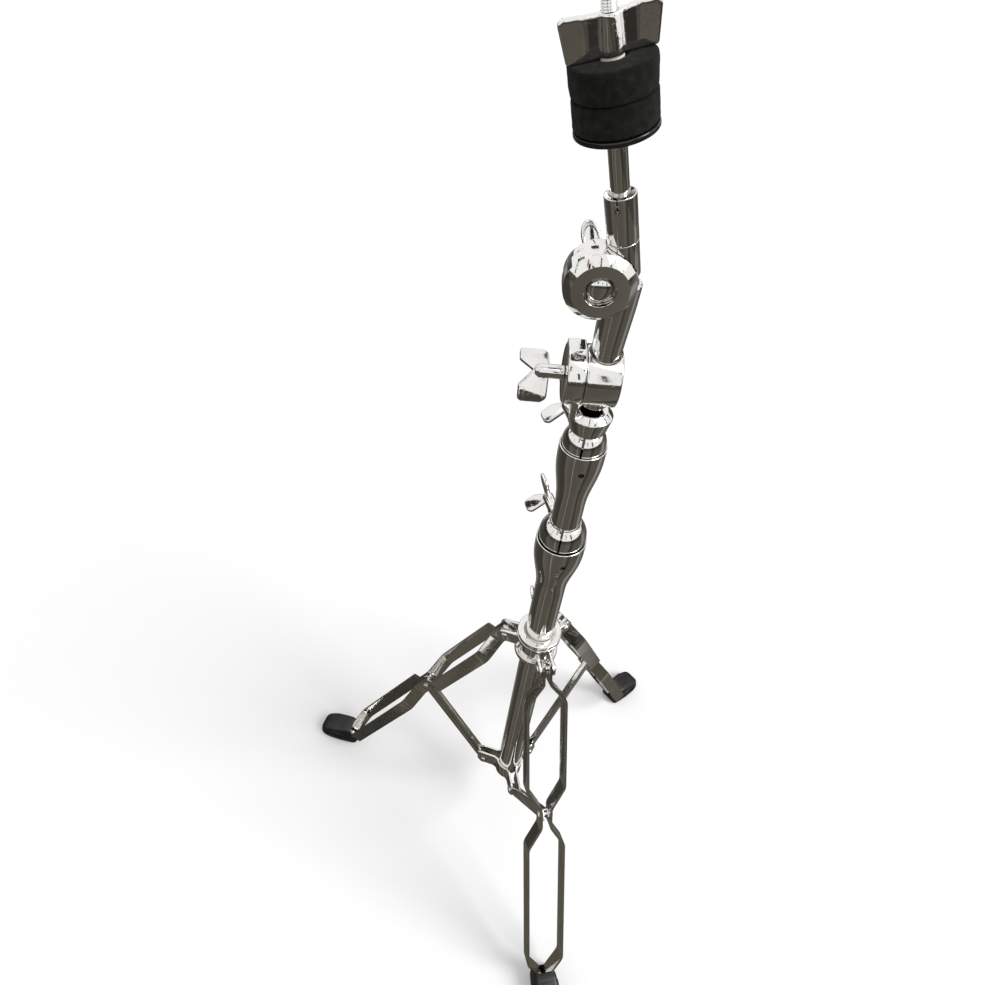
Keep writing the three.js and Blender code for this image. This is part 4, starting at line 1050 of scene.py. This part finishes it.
# %% Short tube
outline = [(7.5, 23.9), (9.5, 23.9, 0.4), (9.5, 52.3, 0.6), (8.7, 52.3, 0.3), (5.8, 46.3, 0.6)]
outline += [(5.8, 36.2), (7.5, 36.2)]
short_tube = turned(outline, around=96, ring=True)
slit_way, slit_foot = radial(-106), 45.8
saw = plate([(0, -0.5), (13, -0.5), (13, 0.5), (0, 0.5)], slit_foot, 56)
lay(saw, place((0, 0, 0), UP, slit_way))
drill(short_tube, 1.5, 0, 13, place(UP * slit_foot * mm, slit_way, UP))
cut(short_tube, saw)
ease(short_tube, 0.12, angle=50)
# painted shade: the funnel's inside and the slit's hole are marked for the near-black shade colour
darken(short_tube, lambda v: v.z < 50 and math.hypot(v.x, v.y) < 9.45)
settle(lay(short_tube, rod_place), "short_tube", cast_chrome)

# %% Threaded rod
thread_foot = 118
crests = int((149 - thread_foot) / thread_pitch)
outline = [(0, 36.5), (5.5, 36.5, 0.4), (5.5, 82.3, 0.6), (4, 82.3), (4, thread_foot)]
for i in range(crests):
    outline.append((3.45, thread_foot + (i + 0.5) * thread_pitch))
    outline.append((4, thread_foot + (i + 0.85) * thread_pitch))
outline += [(4, 149.2), (3.3, 150), (0, 150)]
cymbal_rod = lay(turned(outline, around=48, steps=3), rod_place)
settle(cymbal_rod, "cymbal_rod", cast_chrome)
print("threads on the rod:", crests)

# %% [markdown]
# ## Seat
# A glossy moulded cup carries two thick felts, with the cymbal's sleeve inside them, and a big
# wing nut holds them. The felts are pressed wool, so they are puffed a little by a cloth
# simulation with pressure, like a pad, and then roughened at their cut edges.

# %% Cup and sleeve
seat_bore = 4.3
outline = [(seat_bore, 82.6), (9.5, 82.6, 1.2), (9.5, 86.6, 1), (21.8, 86.6, 0.8), (23, 87.3, 0.8)]
outline += [(23, 89.1, 0.9), (22.7, 89.9, 0.4), (seat_bore, 89.9)]
cup = turned(outline, around=96, ring=True)
settle(lay(cup, rod_place), "seat_cup", plastic)
outline = [(seat_bore, 90.2), (6.2, 90.2, 0.4), (6.2, 122.5, 0.4), (seat_bore, 122.5)]
settle(lay(turned(outline, ring=True), rod_place), "cymbal_sleeve", nylon)


# %% Felts
felt_height = 16
felt_reach = 0.6 * mm  # how far the cloth may carry a point
rough_edge = 15 * mm  # the wool is rough outside this radius


def felt_ring(foot, seed):
    top = foot + felt_height
    outline = [(7.1, foot + 0.1, 0.8), (22.7, foot + 0.1, 1), (22.7, top - 0.1, 1.5)]
    outline.append((7.1, top - 0.1, 0.8))
    piece = turned(outline, ring=True)
    use(piece, "REMESH", mode="VOXEL", voxel_size=1.3 * mm)
    rest = [vertex.co.copy() for vertex in piece.data.vertices]
    select_only(piece)
    bpy.ops.object.modifier_add(type="CLOTH")
    cloth = piece.modifiers[-1]
    cloth.settings.use_pressure = True
    cloth.settings.uniform_pressure_force = 4
    cloth.settings.effector_weights.gravity = 0
    cloth.settings.tension_stiffness = 40
    cloth.settings.compression_stiffness = 40
    for step in range(1, 21):
        bpy.context.scene.frame_set(step)
    bpy.ops.object.modifier_apply(modifier=cloth.name)
    bpy.context.scene.frame_set(1)
    most = 0
    for vertex, start in zip(piece.data.vertices, rest):
        move = vertex.co - start
        if move.length > felt_reach:
            move = move.normalized() * felt_reach
        spot = start + move
        radius = math.hypot(spot.x, spot.y)
        rough = noise.noise(Vector((spot.x, spot.y, spot.z + seed)) * 170) * 0.55 * mm
        wanted = min(max(radius + (rough if radius > rough_edge else 0), 6.7 * mm), 23.2 * mm)
        spot.x *= wanted / radius
        spot.y *= wanted / radius
        spot.z = min(max(spot.z + rough * 0.4, (foot + 0.05) * mm), (top - 0.05) * mm)
        vertex.co = spot
        most = max(most, move.length)
    use(piece, "SUBSURF", levels=1, render_levels=1)
    print("felt moved at most", round(most / mm, 2), "mm")
    return piece


for node, foot_height, seed in (("lower_felt", 90.2, 0.0), ("upper_felt", 106.5, 0.7)):
    pad = lay(felt_ring(foot_height, seed), rod_place)
    settle(pad, node, felt, angle=180)

# %% [markdown]
# ## Wing nut
# The big nut has two broad wings that sway opposite ways. A sheet is bent along the sway, trimmed
# to the wings' outline, and its edges are rounded broadly, as on a casting. The hub is turned.

# %% Wing nut
nut_foot, nut_top = 122.8, 142.8
dip = nut_top - 1.2
sway = [(-28, -3.2), (-12.5, -2.88, 12), (-3, 0, 8), (3, 0, 8), (12.5, 2.88, 12), (28, 3.2)]
wings = bent_strip(sway, nut_foot - 3, nut_top + 3, 5)
right_half = [(22.8, nut_foot, 1.5), (25, nut_top - 2, 2), (22.5, nut_top, 2), (7, dip, 6)]
left_half = [(-x, z, soft) for x, z, soft in reversed(right_half)]
face = left_half[-1:] + right_half + left_half[:-1]
trim = lay(plate(face, -12, 12), place((0, 0, 0), (0, -1, 0), (1, 0, 0)))
cut(wings, trim, "INTERSECT")
hub = [(0, nut_foot), (6.6, nut_foot, 0.6), (6.2, nut_foot + 9), (5.6, dip, 1.5), (0, dip)]
cut(wings, turned(hub, around=64), "UNION")
use(wings, "REMESH", mode="VOXEL", voxel_size=0.45 * mm)
use(wings, "SMOOTH", factor=0.5, iterations=14)
cut(wings, rod(seat_bore, nut_foot - 2, nut_top + 2))
ease(wings, 0.3, segments=3, angle=60)
settle(lay(wings, rod_place), "cymbal_wing_nut", cast_chrome, angle=50)

# %% [markdown]
# ## Bushes
# Thin black nylon sleeves line the two bells, under the clamp rings. Little of them is seen.


# %% Bushes in the bells
def bell_bush(bell, bore):
    top = bell[0] - 9.3
    outline = [(bore, top - 26)]
    for i in range(11):
        height = top - 26 + 2.6 * i
        outline.append((max(swell(bell, height) - wall - 0.4, bore + 0.6), height))
    outline.append((bore, top))
    return turned(outline, ring=True)


settle(bell_bush(base_bell, 13.1), "base_bush", black_nylon)
settle(bell_bush(mid_bell, 11.5), "mid_bush", black_nylon)

# %% [markdown]
# ## The studio
# The floor is plain and pale. The camera, a mirror and glass see the floor and the sky a little
# brighter than they light the stand, so both come out nearly white and the floor still keeps the
# stand's shadow. Chrome shows the room, so it is photographed between dark cards: a mat on the
# floor and a low wall round it are dark, with a few pale gaps that become the long lines on the
# tubes. Slats, a softbox and a window hang over it. Only reflections see the cards.


# %% Floor
def flat_disc(name, radius, height):
    select_only(None)
    bpy.ops.mesh.primitive_circle_add(vertices=96, radius=radius, fill_type="NGON")
    disc = bpy.context.object
    disc.name = name
    disc.location.z = height
    bpy.ops.object.transform_apply(location=True, rotation=False, scale=False)
    return disc


def seen_ray(tree):
    """One for a ray from the camera, a reflection or glass, and nothing for plain light."""
    path = add_node(tree, "LightPath").outputs
    mirrored = figure(tree, "MAXIMUM", path["Is Camera Ray"], path["Is Glossy Ray"])
    return figure(tree, "MAXIMUM", mirrored, path["Is Transmission Ray"])


def empty_look(name):
    """A material with nothing but its output."""
    look = bpy.data.materials.new(name)
    look.use_nodes = True
    look.node_tree.nodes.clear()
    return look, look.node_tree, add_node(look.node_tree, "OutputMaterial").inputs["Surface"]


floor = flat_disc("floor", 60, sole_height - 0.0001)
floor_look, tree, surface = empty_look("pale floor")
lit = add_node(tree, "BsdfDiffuse", Color=(0.8, 0.8, 0.8, 1))
paint = add_node(tree, "BsdfDiffuse", Color=(0.74, 0.74, 0.74, 1))
glow = add_node(tree, "Emission", Strength=0.1)
lifted = add_node(tree, "AddShader", paint.outputs[0], glow.outputs[0])
choice = add_node(tree, "MixShader", seen_ray(tree), lit.outputs[0], lifted.outputs[0])
tree.links.new(choice.outputs[0], surface)
floor.data.materials.append(floor_look)


# %% Dark cards round the stand
def card_look(name, stops, strength):
    """An even glow whose colour follows the angle about the stand, in degrees from +X."""
    look, tree, surface = empty_look(name)
    sweep = add_node(tree, "TexGradient", Vector=add_node(tree, "TexCoord").outputs["Object"])
    sweep.gradient_type = "RADIAL"
    ramp = add_node(tree, "ValToRGB", sweep.outputs["Color"])
    elements = ramp.color_ramp.elements
    for i, (angle, colour) in enumerate(sorted(stops)):
        position = (angle + 180) / 360
        element = elements[i] if i < 2 else elements.new(position)
        element.position = position
        element.color = (*colour, 1)
    glow = add_node(tree, "Emission", Color=ramp.outputs["Color"], Strength=strength)
    tree.links.new(glow.outputs[0], surface)
    return look


def only_reflected(card):
    for way in ("camera", "diffuse", "transmission", "volume_scatter", "shadow"):
        setattr(card, "visible_" + way, False)
    return card


brown, grey, dark, pale = (0.098, 0.088, 0.07), (0.125, 0.117, 0.098), (0.05, 0.047, 0.04), (0.3,) * 3
stops = [(-180, grey), (-150, brown), (-139, brown), (-136, pale), (-133, brown), (-100, brown)]
stops += [(-74, grey), (-70, dark), (-60, dark), (-55, brown), (-20, brown), (-8, pale)]
stops += [(10, grey), (50, brown), (78, dark), (96, grey), (104, pale), (110, brown), (150, dark)]
card_circle = 3.2
mat = only_reflected(flat_disc("mat", card_circle, -0.0775))
mat.data.materials.append(card_look("mat card", stops, 1))
select_only(None)
bpy.ops.mesh.primitive_cylinder_add(
    vertices=96, radius=card_circle, depth=0.9, end_fill_type="NOTHING"
)
low_wall = bpy.context.object
low_wall.name = "low_wall"
low_wall.location.z = 0.37
bpy.ops.object.transform_apply(location=True, rotation=False, scale=False)
only_reflected(low_wall).data.materials.append(card_look("wall card", stops, 0.6))


def hung_card(name, angle, height, reach, size, colour, strength=1.0):
    """A flat card hung over the stand, facing it."""
    select_only(None)
    bpy.ops.mesh.primitive_plane_add(size=1)
    card = bpy.context.object
    card.name = name
    card.scale = (*size, 1)
    at = radial(angle) * reach + UP * height
    lay(card, place(at, UP * 0.5 - at, UP))
    black = {"Base_Color": (0, 0, 0, 1), "Specular_IOR_Level": 0}
    shine = {"Emission_Color": (*colour, 1), "Emission_Strength": strength}
    only_reflected(card).data.materials.append(new_material(name + " look", **black, **shine)[0])


# the dark things over and round the stand, as a room has them, each an upright slat
for i in range(14):
    width = 0.08 + 0.3 * ((i * 7) % 5) / 4
    height = 1.5 + 0.25 * ((i * 3) % 4)
    hung_card(f"slat_{i}", -170 + i * 25.7, height, 2.6, (1.1, width), (0.03, 0.028, 0.025))
hung_card("softbox", -60, 3.2, 1.2, (1.5, 1.2), (1, 1, 1), strength=1.6)
hung_card("window", 120, 2.6, 2.2, (0.9, 1.3), (0.95, 1, 1), strength=1.5)
cards = [
    (-75, 2.5, (0.35, 0.3), (0.02, 0.3, 0.2)),
    (-130, 2.2, (0.3, 0.5), (0.03, 0.028, 0.025)),
    (-150, 2.2, (0.5, 0.16), (0.45, 0.26, 0.2)),
    (-20, 2.0, (0.4, 0.2), (0.5, 0.3, 0.18)),
    (150, 2.4, (0.5, 0.4), (0.06, 0.055, 0.05)),
    (40, 2.7, (0.5, 0.5), (0.09, 0.085, 0.075)),
    (-110, 2.9, (0.9, 0.18), (0.05, 0.048, 0.045)),
]
for i, (angle, height, size, colour) in enumerate(cards):
    hung_card(f"card_{i}", angle, height, 1.9, size, colour)

# %% World and lamps
world = bpy.data.worlds.new("plain")
bpy.context.scene.world = world
world.use_nodes = True
tree = world.node_tree
sky = tree.nodes["Background"].inputs
sky["Color"].default_value = (1, 1, 1, 1)
sky_light, sky_seen = 0.72, 1.0
brightness = figure(tree, "MULTIPLY_ADD", seen_ray(tree), sky_seen - sky_light, sky_light)
tree.links.new(brightness, sky["Strength"])

# a distant lamp as wide as a big window, so that the floor is lit evenly
key_data = bpy.data.lights.new("key", "SUN")
key_data.angle = math.radians(30)
key_data.energy = 2.6
key = bpy.data.objects.new("key", key_data)
bpy.context.scene.collection.objects.link(key)
key_at = Vector((1.5, -1.0, 1.5))
key.matrix_world = place(key_at, key_at, UP)
